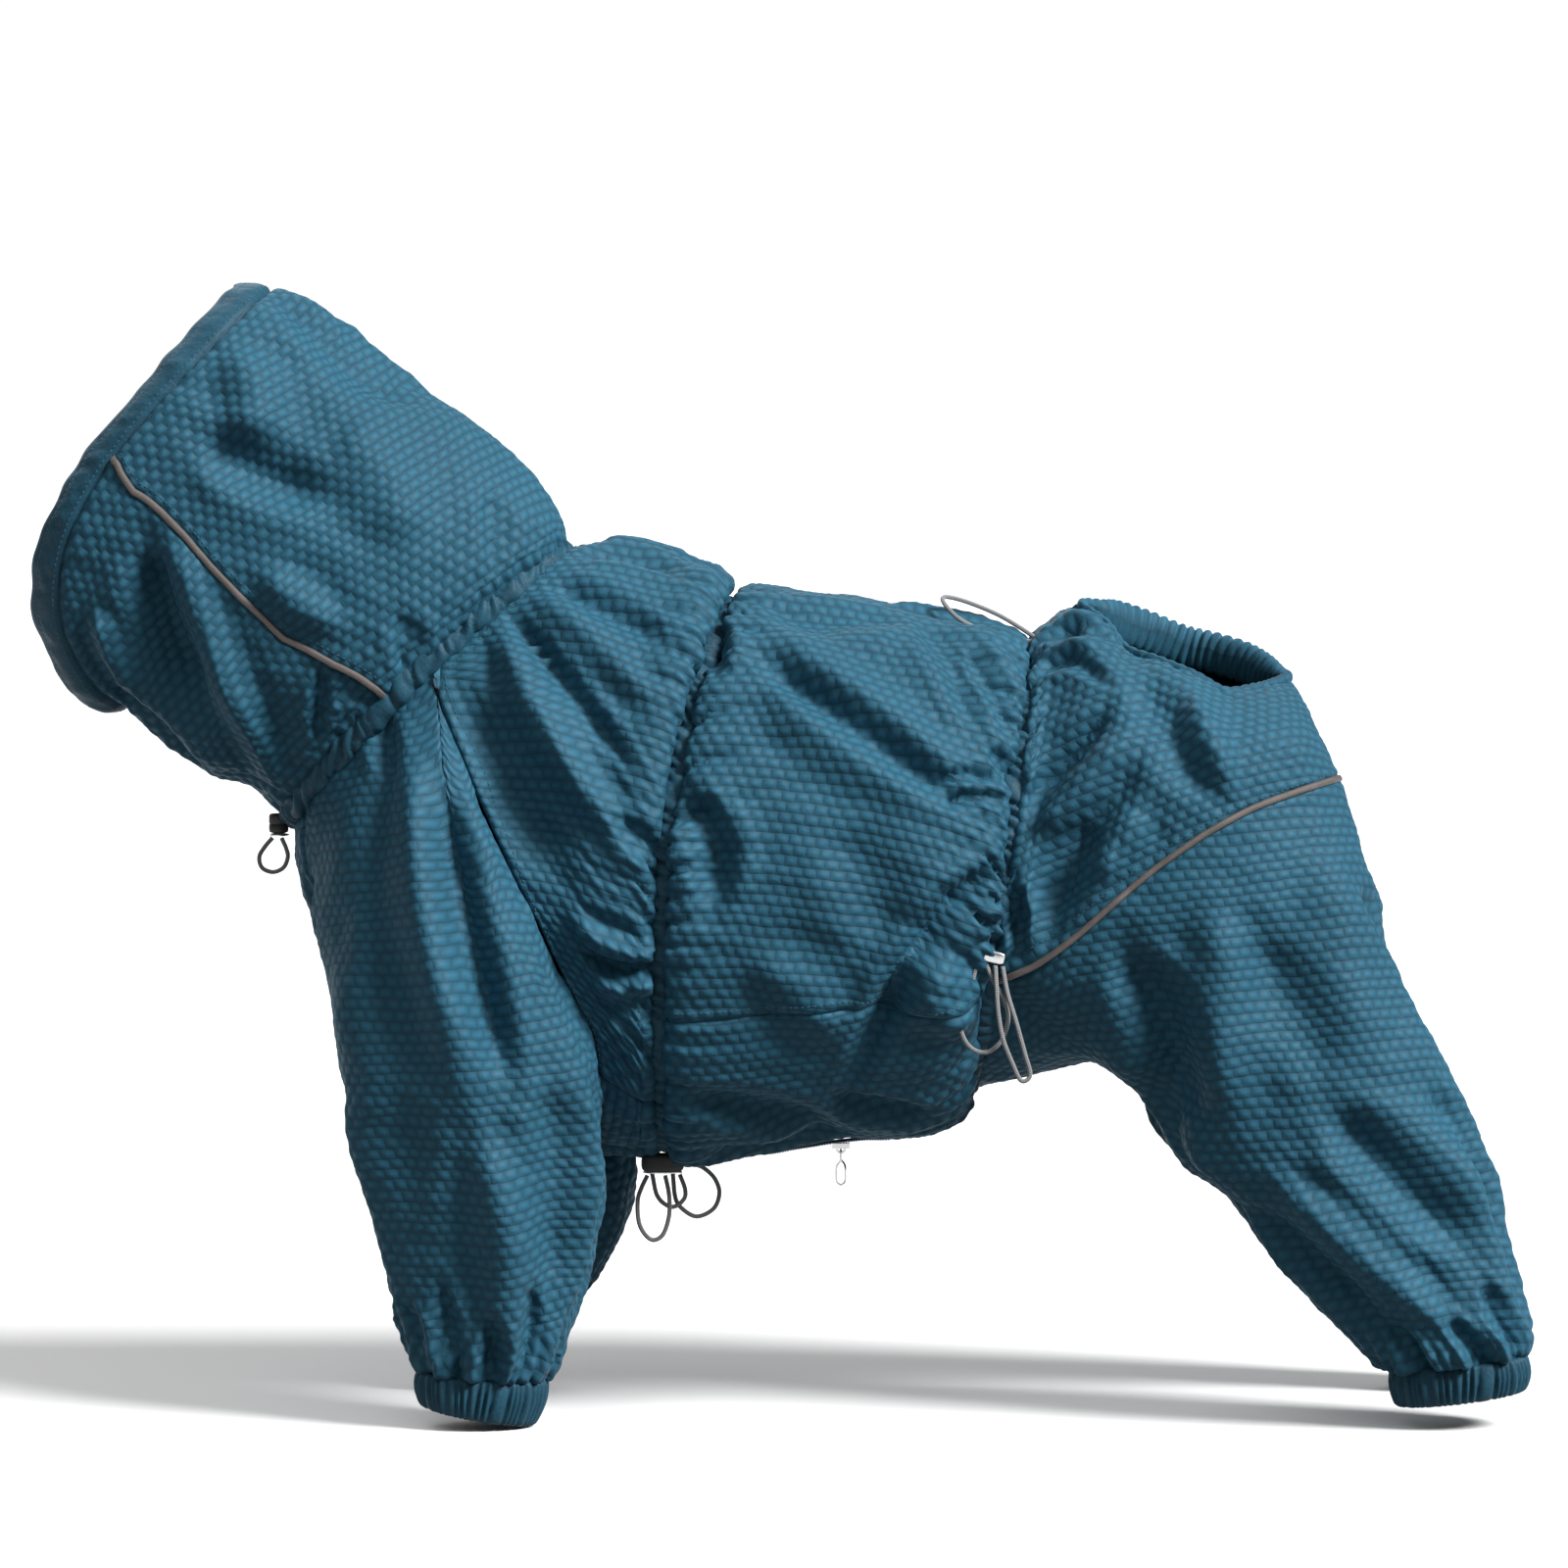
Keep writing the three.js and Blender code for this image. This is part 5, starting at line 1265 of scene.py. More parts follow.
def dark_tape(finish, sizes):
    """Woven zip tape: a herringbone from two slanting waves."""
    along, around = finish.lengths()
    rib = (turns(along, 0.0011) + turns(around.size(), 0.0011)).cos() * 0.5 + 0.5
    fuzz = finish.noise(700.0)
    return finish.surface(
        Base_Color=finish.shades((rib * 0.6 + fuzz * 0.4).clamp(), sizes.cloth_colour, 0.3, 0.8),
        Roughness=0.62 + fuzz * 0.15,
        Normal=finish.bump(rib, 0.0003, 0.8),
    )


def sewing_thread(finish, sizes):
    """Twisted polyester thread of the cloth's colour."""
    along, around = finish.lengths()
    twist = (turns(along, 0.0007) + turns(around, 0.0012)).cos() * 0.5 + 0.5
    return finish.surface(
        Base_Color=finish.shades(twist, sizes.cloth_colour, 0.5, 1.3),
        Roughness=0.45,
        Normal=finish.bump(twist, 0.0001, 0.8),
    )


def zip_coil(finish, sizes):
    """Nylon zip coil."""
    dull = finish.noise(400.0)
    return finish.surface(
        Base_Color=finish.shades(dull, sizes.cloth_colour, 0.5, 1.5),
        Roughness=0.34 + dull * 0.1,
        Normal=finish.bump(dull, 0.0001, 0.4),
    )


def white_backdrop(finish, sizes):
    """Even white, for the surroundings."""
    white, black = (1.0, 1.0, 1.0), (0.0, 0.0, 0.0)
    return finish.surface(Base_Color=black, Emission_Color=white, Emission_Strength=1.0, Roughness=1.0)


def pale_floor(finish, sizes):
    """Plain pale studio floor."""
    soft = finish.noise(3.0, 1.0)
    colour = finish.blend(soft, (0.92, 0.92, 0.92), (0.94, 0.94, 0.94))
    return finish.surface(Base_Color=colour, Roughness=0.85, Specular_IOR_Level=0.1)


MAKERS = (
    puckered_cloth, shaded_gathered_cloth, reflective_piping, braided_cord, black_plastic, bright_metal, dark_tape,
    sewing_thread, zip_coil, pale_floor, white_backdrop,
)
FINISHES = {make.__name__: make for make in MAKERS}


def finish_named(name):
    """A finish, made the first time that it is asked for."""
    return bpy.data.materials.get(name) or FINISHES[name](Finish(name), bpy.context.scene.suit_cloth)


# ---- pieces ------------------------------------------------------------------------------------
def turned_in(surface):
    """The same sleeve with its closing seam moved to the inner side: s 0 and 1 are u 0.5."""
    return lambda s, t: surface((s + 0.5) % 1, t)


def casing(name, row, along_of, half, deep, count, seed, sink, slant=1.0, reach=180):
    """A ruched casing on a ring, from -reach to reach degrees round it: an oval tube, half wide and deep
    high, sunk below the ring. Its skin is drawn in by sharp grooves, |sin(phase / 2)|^0.5 - 1, whose phase
    runs count times round, slants with the section's angle and drifts; a second set, |sin(fine / 2)|^0.6 -
    0.8 with 0.81 as many grooves, crosses them, and both vary slowly round the ring."""
    pick = np.random.default_rng(seed)
    closed = reach == 180
    share = np.linspace(0, 1, count * 8, endpoint=not closed)
    turn = mix(-reach, reach, share)
    curve = ring(row)
    round_way = unit(curve(turn + 0.5) - curve(turn - 0.5))
    along = along_of(turn)
    out = unit(np.cross(round_way, along))
    angle = round_angles(22)

    def slow(*times):
        return sum(np.sin(2 * np.pi * k * share + pick.uniform(0, 6.28)) for k in times)[:, None] / len(times)

    path = curve(turn) - (sink + 0.9 * slow(11, 19, 31)) * out + 1.1 * slow(9, 14, 27) * along
    phase = 2 * np.pi * count * share[:, None] + 3.0 * slow(5, 8, 13) + 2.2 * slow(21, 34)
    phase = phase + slant * (1.6 + 0.8 * slow(3, 7)) * np.cos(angle) + 0.7 * slow(4, 9) * np.sin(2 * angle)
    fine = 0.81 * phase + 1.5 * np.cos(2 * angle) + 2.5 * slow(6, 17)
    strong = np.clip(0.85 + 0.55 * slow(7, 12, 23), 0.25, 1.4)
    folds = strong * (np.abs(np.sin(phase / 2)) ** 0.5 - 1) + 0.45 * (np.abs(np.sin(fine / 2)) ** 0.6 - 0.8)
    wide = half * (1 + 0.14 * slow(2, 5, 9)) + 0.9 * slow(23, 29) + 1.3 * folds
    high = deep * (1 + 0.12 * slow(3, 6)) + 0.62 * deep * folds
    c, s = np.cos(angle), np.sin(angle)
    section = np.stack([np.maximum(wide, 1.5) * c, np.maximum(high, 0.8) * np.sign(s) * np.abs(s) ** 0.8], -1)
    shape = tube(path, section, closed, out)
    roll_sheet(write_mesh(f"{name}_ruche", shape, "shaded_gathered_cloth", (name,), "casing_cloth"), path, section)


def roll_sheet(piece, path, section):
    """Works out a rolled strip's sizes as a gathered sheet, and returns nothing: its fullness is the drawn-in
    skin's own length, its width half its girth, since a strip folded over a cord shows both of its halves."""
    run = steps_along(path).sum()
    girth = np.linalg.norm(np.diff(section, axis=1, append=section[:, :1]), axis=2).sum(1).mean()
    area = sum(face.area for face in piece.data.polygons) / 2
    wide, long = girth / 2 * MM, run * MM
    long = max(long, area / (0.98 * wide))


def rearward(form, v):
    """The direction in which a form runs at one of its rings, as a function of the turn."""
    return lambda turn: unit(slope(form, turn, np.full_like(turn, v)))


CUFF_PLEATS, CUFF_PLEAT_DEPTH, CUFF_THICKNESS = 48, 3.8, 3.0


def band(name, surface, stands_for, right, shift):
    """A gathered elastic band on a closed surface. Its outer side is pushed out by
    depth (|sin(phase / 2)|^0.9 - 1) (0.35 + 0.65 sin(pi t)) + 2 (1 - (2 t - 1)^4)^0.5 - 0.6, with the phase
    going round CUFF_PLEATS times. A right band is mirrored and moved back by shift."""
    pick = np.random.default_rng(21)
    s, t = grid(CUFF_PLEATS * 6, 15)
    points, sign = surface(s, t), -1
    if right:
        points, sign = points * (1, -1, 1) + (shift, 0, 0), 1
    across, along = arcs(points)
    outward = grid_normals(points, True, sign)
    wobble = sum(np.sin(2 * np.pi * k * s + pick.uniform(0, 6.28)) for k in (5, 9, 14)) * 1.5
    lean = np.sin(2 * np.pi * 4 * s + pick.uniform(0, 6.28)) * (t - 0.5) * 2.4
    phase = 2 * np.pi * CUFF_PLEATS * s + wobble + lean
    strong = 0.9 + 0.3 * np.sin(2 * np.pi * 7 * s + 1.3) * np.sin(2 * np.pi * 11 * s + 0.4)
    folds = (np.abs(np.sin(phase / 2)) ** 0.9 - 1) * strong
    round_over = np.sqrt(np.clip(1 - (2 * t - 1) ** 4, 0, 1))
    height = CUFF_PLEAT_DEPTH * folds * (0.35 + 0.65 * np.sin(np.pi * t)) + 2.0 * round_over - 0.6
    outer = points + outward * height[..., None]
    inner = points - outward * CUFF_THICKNESS
    shape = wall(outer, inner, across, along, True, sign)
    piece = write_mesh(name, shape, "shaded_gathered_cloth", stands_for, "casing_cloth")
    sheet_of(np.stack(arcs((outer + inner) / 2), -1))


def hood_brim():
    """The doubled band round the face opening: a closed strip of the hood's form, BRIM_WIDTH wide, that
    stands BRIM_STAND further forward and rolls inwards by BRIM_ROLL t^2. It is puffed between its seam and
    its edge by 1.5 sqrt(sin(pi t)), a little wavy, with a deep sewn groove an eighth of the way and a
    shallow one at its stitched edge."""
    s, t = grid(360, 18)
    turn = 360 * s - 180
    start = 1 - (BRIM_WIDTH + 1.5) / np.linalg.norm(slope(HOOD_FORM, turn, np.ones_like(turn)), axis=-1)
    points = HOOD_FORM(turn, mix(start, 1, t))
    sign = -1
    outward = grid_normals(points, True, sign)
    sizes = bpy.context.scene.suit_cloth
    folds = sizes.fold_strength * fold_field(points, outward)
    points = points + outward * (folds + lumps(points))[..., None]
    forward = unit(points[:, -1] - points[:, 0])[:, None]
    points = points + forward * (BRIM_STAND * t + 1.1 * ripple(points, 26, 31) * t**2)[..., None]
    points = points - outward * (BRIM_ROLL * t**2)[..., None]
    across, along = arcs(points)
    outward = grid_normals(points, True, sign)
    puff = 1.5 * np.sqrt(np.sin(np.pi * t))
    pleat = 0.35 * ripple(points, 9, 4) * np.sin(np.pi * t)
    groove = -2.6 * np.exp(-(((t - 0.12) / 0.06) ** 2)) - 0.5 * np.exp(-(((t - 0.80) / 0.03) ** 2))
    outer = points + outward * (puff + pleat + groove)[..., None]
    inner = points - outward * (0.9 + 0.8 * np.sin(np.pi * t))[..., None]
    shape = wall(outer, inner, across, along, True, sign)
    SEWN["brim_band"] = outer, outward
    piece = write_mesh("brim_band", shape, "shaded_gathered_cloth", ("hood_brim",), "cloth")
    sheet_of(np.stack((across, along), -1))


def on_cloth(surface, turn, share):
    """Points of a line on a skin with the cloth's folds pushed in, and their outward directions."""
    sizes = bpy.context.scene.suit_cloth
    by_turn = surface(turn + 0.4, share) - surface(turn - 0.4, share)
    outward = unit(np.cross(by_turn, slope(surface, turn, share)))
    points = surface(turn, share)
    height = sizes.fold_strength * fold_field(points, outward)
    height += lumps(points)
    return points + outward * height[..., None], outward


# ---- settings ----------------------------------------------------------------------------------
class SuitClothSettings(bpy.types.PropertyGroup):
    """Sizes and colours of the suit's cloth and trims."""

    cloth_colour: FloatVectorProperty(
        name="Cloth", description="Base colour of the coated nylon", subtype="COLOR", min=0, max=1,
        default=(0.0275, 0.127, 0.200),
    )
    piping_colour: FloatVectorProperty(
        name="Piping", description="Colour of the reflective piping", subtype="COLOR", min=0, max=1,
        default=(0.135, 0.117, 0.109),
    )
    cord_colour: FloatVectorProperty(
        name="Cord", description="Colour of the braided drawcords", subtype="COLOR", min=0, max=1,
        default=(0.30, 0.30, 0.305),
    )
    thickness: FloatProperty(
        name="Thickness", description="Thickness of the shell cloth with its seam allowances", unit="LENGTH",
        default=0.0012, min=0.0005, max=0.003,
    )
    pucker_width: FloatProperty(
        name="Pucker width", description="Distance between bubbles across the cloth", unit="LENGTH",
        default=0.0078, min=0.002, max=0.02,
    )
    pucker_row: FloatProperty(
        name="Pucker row", description="Distance between rows of bubbles", unit="LENGTH",
        default=0.0058, min=0.002, max=0.02,
    )
    pucker_height: FloatProperty(
        name="Pucker height", description="How far the bubbles stand out", unit="LENGTH",
        default=0.00045, min=0, max=0.002,
    )
    bump_strength: FloatProperty(
        name="Crinkle", description="Strength of the fine relief", default=0.9, min=0, max=2
    )
    fold_strength: FloatProperty(
        name="Folds", description="How deep the folds are, as a share of their stated depth", default=2.2,
        min=0, max=4,
    )


class SuitStageSettings(bpy.types.PropertyGroup):
    """Camera and lights."""

    camera_distance: FloatProperty(
        name="Camera distance", description="Distance from the suit's middle plane", unit="LENGTH",
        default=3.99, min=1,
    )
    camera_rise: FloatProperty(
        name="Camera rise", description="Height of the camera over the origin", unit="LENGTH", default=0.136
    )
    lens: FloatProperty(
        name="Lens", description="Focal length in millimetres", default=163.6, min=20, max=400
    )
    key_power: FloatProperty(name="Key light", description="Power of the key light", default=5.0, min=0)
    sky: FloatProperty(name="Sky", description="Strength of the even light overhead", default=0.20, min=0)


# ---- operators ---------------------------------------------------------------------------------
class SUIT_OT_stage(bpy.types.Operator):
    """Pale floor, studio lights and the camera."""

    bl_idname = "suit.stage"
    bl_label = "Stage"

    def execute(self, context):
        stage = context.scene.suit_stage
        turn = round_angles(64)
        points = at(FLOOR_REACH * np.cos(turn), FLOOR_REACH * np.sin(turn), FLOOR_Z - 0.3)
        mesh = bpy.data.meshes.new("floor")
        mesh.from_pydata((points * MM).tolist(), [], [list(range(64))])
        mesh.materials.append(finish_named("pale_floor"))
        floor = bpy.data.objects.new("floor", mesh)
        context.scene.collection.objects.link(floor)
        bpy.ops.mesh.primitive_uv_sphere_add(segments=32, ring_count=16, radius=29.0)
        backdrop = context.object
        backdrop.name = "backdrop"
        backdrop.data.materials.append(finish_named("white_backdrop"))
        backdrop.visible_diffuse = backdrop.visible_glossy = backdrop.visible_shadow = False
        backdrop.visible_transmission = backdrop.visible_volume_scatter = False
        floor.visible_diffuse = False

        world = bpy.data.worlds.new("even_sky")
        world.use_nodes = True
        tree = world.node_tree
        place = tree.nodes.new("ShaderNodeTexCoord")
        split = tree.nodes.new("ShaderNodeSeparateXYZ")
        rise = tree.nodes.new("ShaderNodeMapRange")
        rise.inputs["From Min"].default_value = -0.6
        rise.inputs["To Min"].default_value, rise.inputs["To Max"].default_value = 0.25 * stage.sky, stage.sky
        tree.links.new(place.outputs["Generated"], split.inputs[0])
        tree.links.new(split.outputs["Z"], rise.inputs["Value"])
        tree.links.new(rise.outputs["Result"], tree.nodes["Background"].inputs["Strength"])
        tree.nodes["Background"].inputs["Color"].default_value = (1.0, 1.0, 1.0, 1.0)
        context.scene.world = world

        context.scene.view_settings.view_transform = "Standard"
        for name, place, spread, power in (
            ("key_light", (2.7, -1.7, 2.6), 20, stage.key_power),
            ("fill_light", (-0.8, -2.0, 3.2), 50, 0.10 * stage.key_power),
            ("back_light", (-1.6, 3.0, 2.2), 60, 0.30 * stage.key_power),
        ):
            light = bpy.data.lights.new(name, "SUN")
            light.energy, light.angle = power, math.radians(spread)
            lamp = bpy.data.objects.new(name, light)
            context.scene.collection.objects.link(lamp)
            aim(lamp, place, (0.0, 0.0, -0.12))

        camera = bpy.data.objects.new("camera", bpy.data.cameras.new("camera"))
        context.scene.collection.objects.link(camera)
        camera.data.sensor_width, camera.data.lens = 36.0, stage.lens
        camera.data.clip_end = 200.0
        aim(camera, (-0.044, -stage.camera_distance, stage.camera_rise), (-0.044, 0.0, -0.102))
        context.scene.camera = camera
        return {"FINISHED"}


def aim(item, place, target):
    """Puts an object at a place, looking along its own -Z at a target with +Y upwards."""
    item.location = place
    item.rotation_euler = (Vector(target) - Vector(place)).to_track_quat("-Z", "Y").to_euler()


class SUIT_OT_cords(bpy.types.Operator):
    """The seven drawcord runs, each from its lock or casing and back."""

    bl_idname = "suit.cords"
    bl_label = "Cords"

    def execute(self, context):
        for name, route in CORD_ROUTES.items():
            path = glide(route, np.linspace(0, 1, 9 * len(route)))
            shape = tube(path, rounded(CORD_DIAMETER / 2, CORD_DIAMETER / 2, 12), False)
            piece = write_mesh(f"{name}_braid", shape, "braided_cord", (name,), "cord")
            length = float(steps_along(path).sum()) * MM
            (path[0] * MM).tolist()
            (path * MM).tolist()
        return {"FINISHED"}


class SUIT_OT_hood(bpy.types.Operator):
    """Crown and throat of the hood and the brim band round the face."""

    bl_idname = "suit.hood"
    bl_label = "Hood"

    def execute(self, context):
        for name, surface, seed, puffs in (
            ("crown", hood_crown, 3, {"start": (6.0, 14), "end": (3.0, 12)}),
            ("throat", hood_throat, 5, {"start": (3.0, 12), "end": (2.0, 12)}),
        ):
            panel(
                f"{name}_cloth", surface, -1, gathers={"start": (2.6, 17), "end": (0.6, 7)}, seed=seed,
                puffs=puffs, grain=12, stands_for=(f"hood_{name}",),
            )
        hood_brim()
        return {"FINISHED"}


class SUIT_OT_chest(bpy.types.Operator):
    """Back and front panels of the chest."""

    bl_idname = "suit.chest"
    bl_label = "Chest"

    def execute(self, context):
        for name, surface, seed, grain, pinned in (
            ("chest_back", chest_back, 7, 90, ("start",)), ("chest_bib", chest_bib, 9, 0, ("first", "last")),
        ):
            panel(
                f"{name}_cloth", surface, 1, gathers={"end": (4.2, 16)}, seed=seed, puffs={"end": (6.0, 12)},
                grain=grain, pinned=pinned, stands_for=(name,),
            )
        return {"FINISHED"}


def sleeve(name, surface, seed, start_tuck, **cut):
    """A panel closed into a sleeve and gathered into its cuff; the right one is mirrored."""
    panel(
        f"{name}_cloth", turned_in(surface), -1, closed=True, seed=seed, right=name.endswith("right"),
        gathers={"end": (5.0, 17)}, puffs={"end": (4.0, 10)}, tucks={"end": 6.0, "start": start_tuck},
        stands_for=(name,), **cut,
    )


class SUIT_OT_front_sleeves(bpy.types.Operator):
    """The two front sleeves; the right one is stepped back above and forward at its cuff."""

    bl_idname = "suit.front_sleeves"
    bl_label = "Front sleeves"

    def execute(self, context):
        for name, steps in (("left", [0] * 7), ("right", RIGHT_STEPS)):
            sleeve(f"front_sleeve_{name}", front_sleeve(steps), 11, 5.0, pinned=("start",))
        return {"FINISHED"}


class SUIT_OT_body(bpy.types.Operator):
    """Back and belly of the body."""

    bl_idname = "suit.body"
    bl_label = "Body"

    def execute(self, context):
        for name, surface, seed in (("body_back", body_back, 13), ("body_belly", body_belly, 15)):
            panel(
                f"{name}_cloth", surface, 1, gathers={"start": (4.2, 15), "end": (4.5, 17)}, seed=seed,
                puffs={"start": (5.0, 12), "end": (5.0, 12)}, grain=90, stands_for=(name,),
            )
        return {"FINISHED"}


class SUIT_OT_rump(bpy.types.Operator):
    """Two halves of the rump, joined on the spine in front of the tail opening."""

    bl_idname = "suit.rump"
    bl_label = "Rump"

    def execute(self, context):
        for name, form, sign in (("left", RUMP_LEFT, 1), ("right", RUMP_RIGHT, -1)):
            panel(
                f"rump_{name}_cloth", form, sign, gathers={"start": (4.2, 16), "first": (1.6, 10)}, seed=17,
                seams=("last",), stands_for=(f"rump_{name}",), puffs={"start": (4.0, 10)}, grain=90,
            )
        return {"FINISHED"}


class SUIT_OT_hind_sleeves(bpy.types.Operator):
    """The two hind sleeves."""

    bl_idname = "suit.hind_sleeves"
    bl_label = "Hind sleeves"

    def execute(self, context):
        for name in ("left", "right"):
            sleeve(f"hind_sleeve_{name}", HIND_SLEEVE, 19, 1.0, grain=20)
        return {"FINISHED"}


class SUIT_OT_cuffs(bpy.types.Operator):
    """Four gathered elastic cuffs."""

    bl_idname = "suit.cuffs"
    bl_label = "Cuffs"

    def execute(self, context):
        pairs = (("front", FRONT_CUFF_RINGS, RIGHT_STEPS[-1]), ("hind", HIND_CUFF_RINGS, 0.0))
        for pair, rings, shift in pairs:
            surface = turned_in(skin([sleeve_ring(row) for row in rings]))
            for side in ("left", "right"):
                name = f"{pair}_cuff_{side}"
                band(f"{name}_band", surface, (name,), side == "right", shift)
        return {"FINISHED"}


class SUIT_OT_casings(bpy.types.Operator):
    """Three ruched drawcord casings, at the neck, behind the chest and at the waist."""

    bl_idname = "suit.casings"
    bl_label = "Casings"

    def execute(self, context):
        chest_start, hood_start = rearward(CHEST_FORM, 0.0), rearward(HOOD_FORM, 0.0)
        chest_end, body_start = rearward(CHEST_FORM, 1.0), rearward(BODY_FORM, 0.0)

        def neck_along(turn):
            return unit(chest_start(turn) - hood_start(turn))

        def chest_along(turn):
            return unit(chest_end(turn) + body_start(turn))

        def waist_along(turn):
            return at(1 + 0 * turn, 0, 0)

        neck = {"half": 8.0, "deep": 6.6, "count": 56, "seed": 1, "sink": -1.2, "slant": 2.6}
        chest = {"half": 8.6, "deep": 5.4, "count": 104, "seed": 2, "sink": 0.9, "reach": 172}
        waist = {"half": 7.0, "deep": 5.0, "count": 92, "seed": 3, "sink": 0.9}
        casing("neck_casing", CHEST_RINGS[0], neck_along, **neck)
        casing("chest_casing", BODY_RINGS[0], chest_along, **chest)
        casing("waist_casing", BODY_RINGS[-1], waist_along, **waist)
        return {"FINISHED"}


class SUIT_OT_piping(bpy.types.Operator):
    """Reflective piping in the hood seams and the hip seams."""

    bl_idname = "suit.piping"
    bl_label = "Piping"

    def execute(self, context):
        section = rounded(1.95, 1.5, 12, 0.8) + (0, 1.3)
        for name, cloth, line in (
            ("hood_piping_left", "crown_cloth", (-1, slice(None))),
            ("hood_piping_right", "crown_cloth", (0, slice(None))),
            ("rump_piping_left", "rump_left_cloth", (-1, slice(2, -9))),
            ("rump_piping_right", "rump_right_cloth", (-1, slice(2, -9))),
        ):
            outer, outward = (part[line] for part in SEWN[cloth])
            shape = tube(outer, section, False, outward)
            write_mesh(f"{name}_bead", shape, "reflective_piping", (name,), "reflective")
        return {"FINISHED"}


class SUIT_OT_tail_band(bpy.types.Operator):
    """The rolled, gathered edge of the tail opening."""

    bl_idname = "suit.tail_band"
    bl_label = "Tail band"

    def execute(self, context):
        lips = RUMP_STATIONS[1:]
        left = [(row[0], -row[1], row[2]) for row in lips]
        right = [(row[0], row[1], row[3]) for row in lips[1:-1]]
        loop = np.array(left + right[::-1], float)
        count = len(loop)
        loop = np.concatenate([loop[-2:], loop, loop[:3]])
        path = glide(loop, np.linspace(2, 2 + count, 400, endpoint=False) / (len(loop) - 1))
        run = np.linspace(0, 1, 400, endpoint=False)[:, None]
        angle = round_angles(18)
        phase = 2 * np.pi * 62 * run + 1.4 * np.sin(2 * np.pi * 5 * run) + 0.8 * np.cos(angle)
        folds = np.abs(np.sin(phase / 2)) ** 0.7 - 1
        far = smooth(-10, 25, path[:, 1:2])
        size = mix(2.9, 5.2, far) + mix(0.9, 2.4, far) * folds * (0.8 + 0.2 * np.sin(2 * np.pi * 3 * run))
        drop = (1 - np.sin(angle)) / 2 * mix(0, 13, smooth(4, 26, path[:, 1:2]))
        section = np.stack([size * np.cos(angle), size * 1.15 * np.sin(angle) - drop], -1)
        shape = tube(path, section, True, UPWARDS)
        piece = write_mesh("tail_band_roll", shape, "puckered_cloth", ("tail_band",), "casing_cloth")
        roll_sheet(piece, path, section)
        return {"FINISHED"}


SLIDER_X = -12.0
PULL_PIVOT = np.array((SLIDER_X, 0.0, -308.216))
PULL_BEND, PULL_DROP, PULL_END = 16.5, 18.8, 20.0  # where the wire's sides close, meet its bend, and its foot
PULL_TOP_HALF, PULL_LOW_HALF = 3.3, 2.6  # half the distance between its sides


def zip_line():
    """The zip's line under the chest and the belly, raised by 1.6 exp(-((x - SLIDER_X) / 14)^2) to its
    slider, and its outward directions."""
    lines = (
        on_cloth(CHEST, np.full(40, 180.0), np.linspace(0.62, 0.97, 40)),
        on_cloth(BODY, np.full(60, 180.0), np.linspace(0.02, 0.62, 60)),
    )
    path, outward = (np.concatenate(parts) for parts in zip(*lines))
    return path + outward * (1.6 * np.exp(-(((path[:, :1] - SLIDER_X) / 14) ** 2))), outward


def pull_wire():
    """The pull's bent wire: down its left side and up its right one, turned edge on to the slider at the top
    and flat below, with a round end, half sqrt(1 - ((down - PULL_BEND) / 3.55)^2)."""
    down = np.linspace(0, PULL_DROP, 34)
    down = np.concatenate([down, [PULL_END], down[::-1]])
    side = np.concatenate([np.ones(34), [0], -np.ones(34)])
    twisted = smooth(5, 11, down)
    turn = mix(np.pi / 2, 0.25, twisted)
    closing = np.sqrt(np.clip(1 - ((down - PULL_BEND) / 3.55) ** 2, 0, 1))
    half = mix(PULL_TOP_HALF, PULL_LOW_HALF, twisted) * np.where(down > PULL_BEND, closing, 1)
    path = PULL_PIVOT + at(side * half * np.cos(turn), side * half * np.sin(turn), -down)
    return tube(path, rounded(0.6, 0.6, 10), True, at(-np.sin(turn), np.cos(turn), 0))


class SUIT_OT_zip(bpy.types.Operator):
    """Belly zip: tape, coil, slider finish and the swinging wire pull."""

    bl_idname = "suit.zip"
    bl_label = "Zip"

    def execute(self, context):
        path, outward = zip_line()
        section = np.array([(-4, -0.5), (-4, 0.4), (-2.2, 0.7), (2.2, 0.7), (4, 0.4), (4, -0.5)])[::-1]
        write_mesh("zip_tape_weave", tube(path, section, False, outward), "dark_tape", ("zip_tape",), "zip_tape")
        across = unit(np.cross(np.gradient(path, axis=0), outward))
        lines = (path + outward * 0.9 + across * side * 0.9 for side in (-1, 1))
        rows = [stitch_row(line, outward, 1.5, 1.5, 0.55) for line in lines]
        write_mesh("zip_coil_teeth", joined(rows), "zip_coil", slot="zip_tape")
        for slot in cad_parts["zip_slider"].material_slots:
            slot.material = finish_named("bright_metal")
        write_mesh("zip_pull_wire", pull_wire(), "bright_metal", ("zip_pull",), "metal", "zip_pull")
        return {"FINISHED"}


def block(length, height, depth, power):
    """A rounded block about the origin, long in x: sections (depth, height) shrink as (1 - |x|^p)^(1/p)."""
    x = np.sin(np.linspace(-np.pi / 2, np.pi / 2, 25))
    size = np.clip(1 - np.abs(x) ** power, 0.003, 1) ** (1 / power)
    section = rounded(1.0, 1.0, 32, 0.55) * (depth / 2, height / 2)
    path = at(x * length / 2, 0, 0)
    return tube(path, section[None] * size[:, None, None], False, UPWARDS)


def moved(part, place, tilt=0.0):
    """A part turned about y by tilt radians and moved to a place."""
    points, loops, starts, uvs = part
    c, s = np.cos(tilt), np.sin(tilt)
    x, y, z = points.T
    return at(c * x + s * z, y, c * z - s * x) + place, loops, starts, uvs


NECK_LOCK = np.array((-327.5, 0, -124))
CHEST_LOCK = np.array((-112.0, -15.0, -313.8))
WAIST_LOCK = np.array((69.0, -91.0, -191.0))
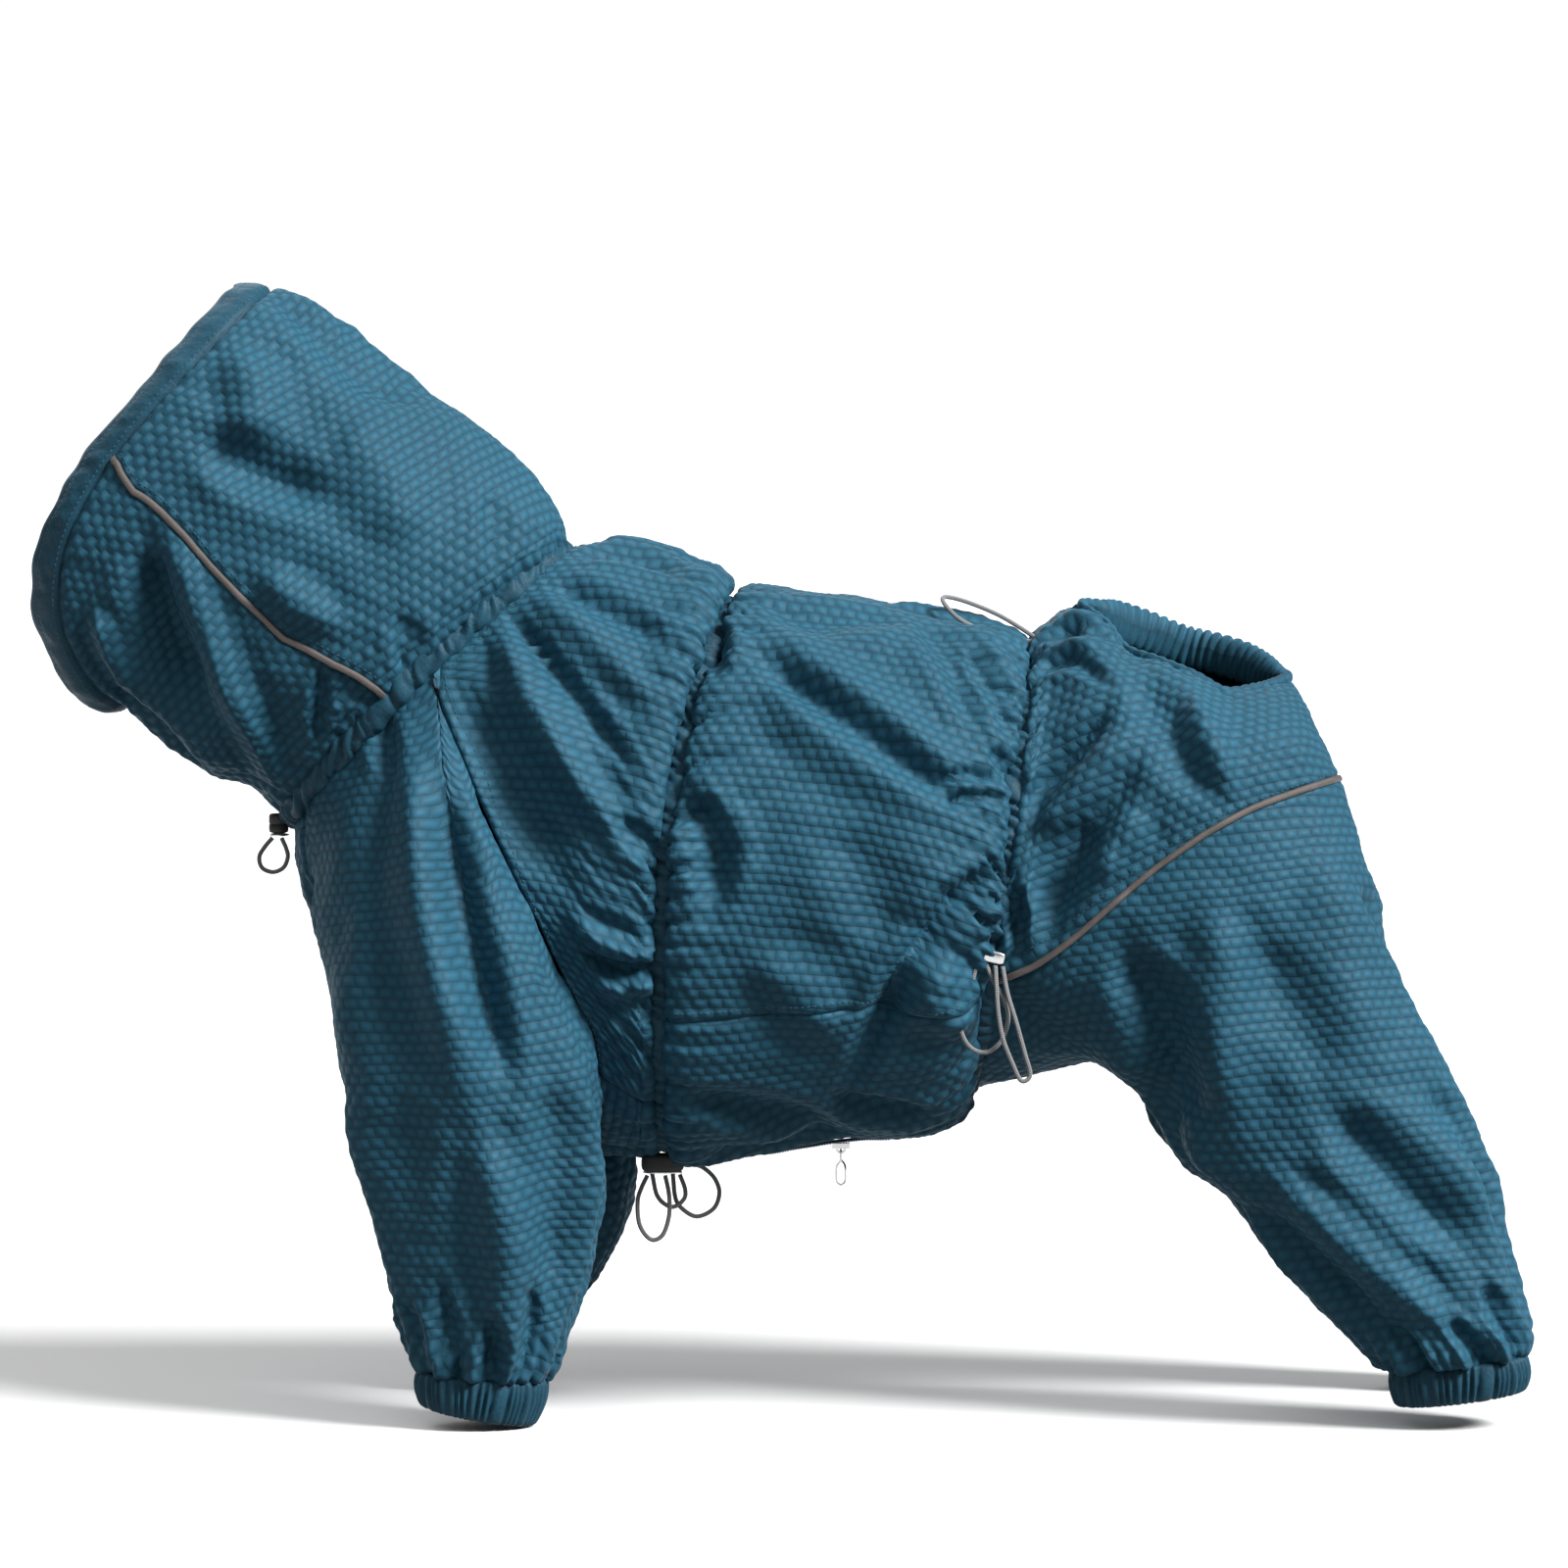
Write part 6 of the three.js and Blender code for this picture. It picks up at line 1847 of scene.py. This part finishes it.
# Profiles of the neck lock and its ring: radius and height.
BARREL = (
    (0, -5.5), (3.4, -5.5), (4.9, -5.1), (5.4, -4.3), (5.5, -3.2), (5.5, -0.8), (5.15, -0.5), (5.15, 0.0),
    (5.5, 0.3), (5.5, 3.6), (5.3, 4.7), (4.6, 5.3), (3.2, 5.5), (1.5, 5.5), (0, 5.5),
)
RIM = ((0, -0.7), (4.4, -0.7), (5.5, -0.45), (5.9, 0), (5.5, 0.45), (4.4, 0.7), (0, 0.7))


class SUIT_OT_locks(bpy.types.Operator):
    """Cord locks at the neck, the chest and the waist."""

    bl_idname = "suit.locks"
    bl_label = "Cord locks"

    def execute(self, context):
        turn = round_angles(48)
        oval = CHEST_LOCK + at(10.6 * np.cos(turn), 3.9 * np.sin(turn), -5.3)
        plastic, metal = ("black_plastic", "black_plastic"), ("bright_metal", "metal")
        for name, part, (finish, slot), stands_for in (
            ("neck_lock_barrel", turned(BARREL, 40, NECK_LOCK), plastic, ("neck_lock",)),
            ("neck_lock_rim", turned(RIM, 40, NECK_LOCK + (0, 0, -6.5)), metal, ("neck_lock_ring",)),
            ("chest_lock_block", moved(block(24, 11, 10, 4), CHEST_LOCK), plastic, ("chest_lock",)),
            ("chest_lock_rim", tube(oval, rounded(0.55, 0.55, 8), True, UPWARDS), metal, ()),
            ("waist_lock_clamp", moved(block(17, 7, 5, 5), WAIST_LOCK, 0.25), metal, ("waist_lock",)),
        ):
            write_mesh(name, part, finish, stands_for, slot)
        return {"FINISHED"}


STITCHED = (  # sewn pieces and the columns or rows of their grids that carry topstitching
    ("brim_band", (slice(None), 5)), ("brim_band", (slice(None), 14)),
    ("crown_cloth", (3, slice(8, None))), ("crown_cloth", (-4, slice(8, None))),
    ("body_back_cloth", (3, slice(8, -8))), ("body_back_cloth", (-4, slice(8, -8))),
    ("rump_left_cloth", (-4, slice(8, -9))), ("rump_right_cloth", (-4, slice(8, -9))),
    ("chest_back_cloth", (slice(3, -3), 4)),
)


class SUIT_OT_stitches(bpy.types.Operator):
    """Topstitching on the brim and beside the hood's, the sides', the hips', the neck and raglan seams."""

    bl_idname = "suit.stitches"
    bl_label = "Stitches"

    def execute(self, context):
        rows = []
        for name, line in STITCHED:
            outer, outward = (part[line] for part in SEWN[name])
            rows.append(stitch_row(outer + 0.15 * outward, outward, 3.4, 2.3, 0.26))
        write_mesh("seam_stitches", joined(rows), "sewing_thread", slot="cloth")
        return {"FINISHED"}


class SUIT_PT_panel(bpy.types.Panel):
    """Sidebar panel that lists the steps."""

    bl_label = "Dog rain suit"
    bl_idname = "SUIT_PT_panel"
    bl_space_type = "VIEW_3D"
    bl_region_type = "UI"
    bl_category = "Rain suit"

    def draw(self, context):
        for group in (context.scene.suit_cloth, context.scene.suit_stage):
            for name in group.__annotations__:
                self.layout.prop(group, name)
        for step in STEPS:
            self.layout.operator(step.bl_idname)


STEPS = (
    SUIT_OT_stage,
    SUIT_OT_cords,
    SUIT_OT_hood,
    SUIT_OT_chest,
    SUIT_OT_front_sleeves,
    SUIT_OT_body,
    SUIT_OT_rump,
    SUIT_OT_hind_sleeves,
    SUIT_OT_cuffs,
    SUIT_OT_casings,
    SUIT_OT_piping,
    SUIT_OT_tail_band,
    SUIT_OT_zip,
    SUIT_OT_locks,
    SUIT_OT_stitches,
)
CLASSES = (SuitClothSettings, SuitStageSettings, *STEPS, SUIT_PT_panel)


def register():
    for item in CLASSES:
        bpy.utils.register_class(item)
    bpy.types.Scene.suit_cloth = PointerProperty(type=SuitClothSettings)
    bpy.types.Scene.suit_stage = PointerProperty(type=SuitStageSettings)


def unregister():
    del bpy.types.Scene.suit_stage
    del bpy.types.Scene.suit_cloth
    for item in reversed(CLASSES):
        bpy.utils.unregister_class(item)


def main():
    """Builds everything in order."""
    register()
    for step in STEPS:
        group, name = step.bl_idname.split(".")
        getattr(getattr(bpy.ops, group), name)()


if __name__ == "__main__":
    main()
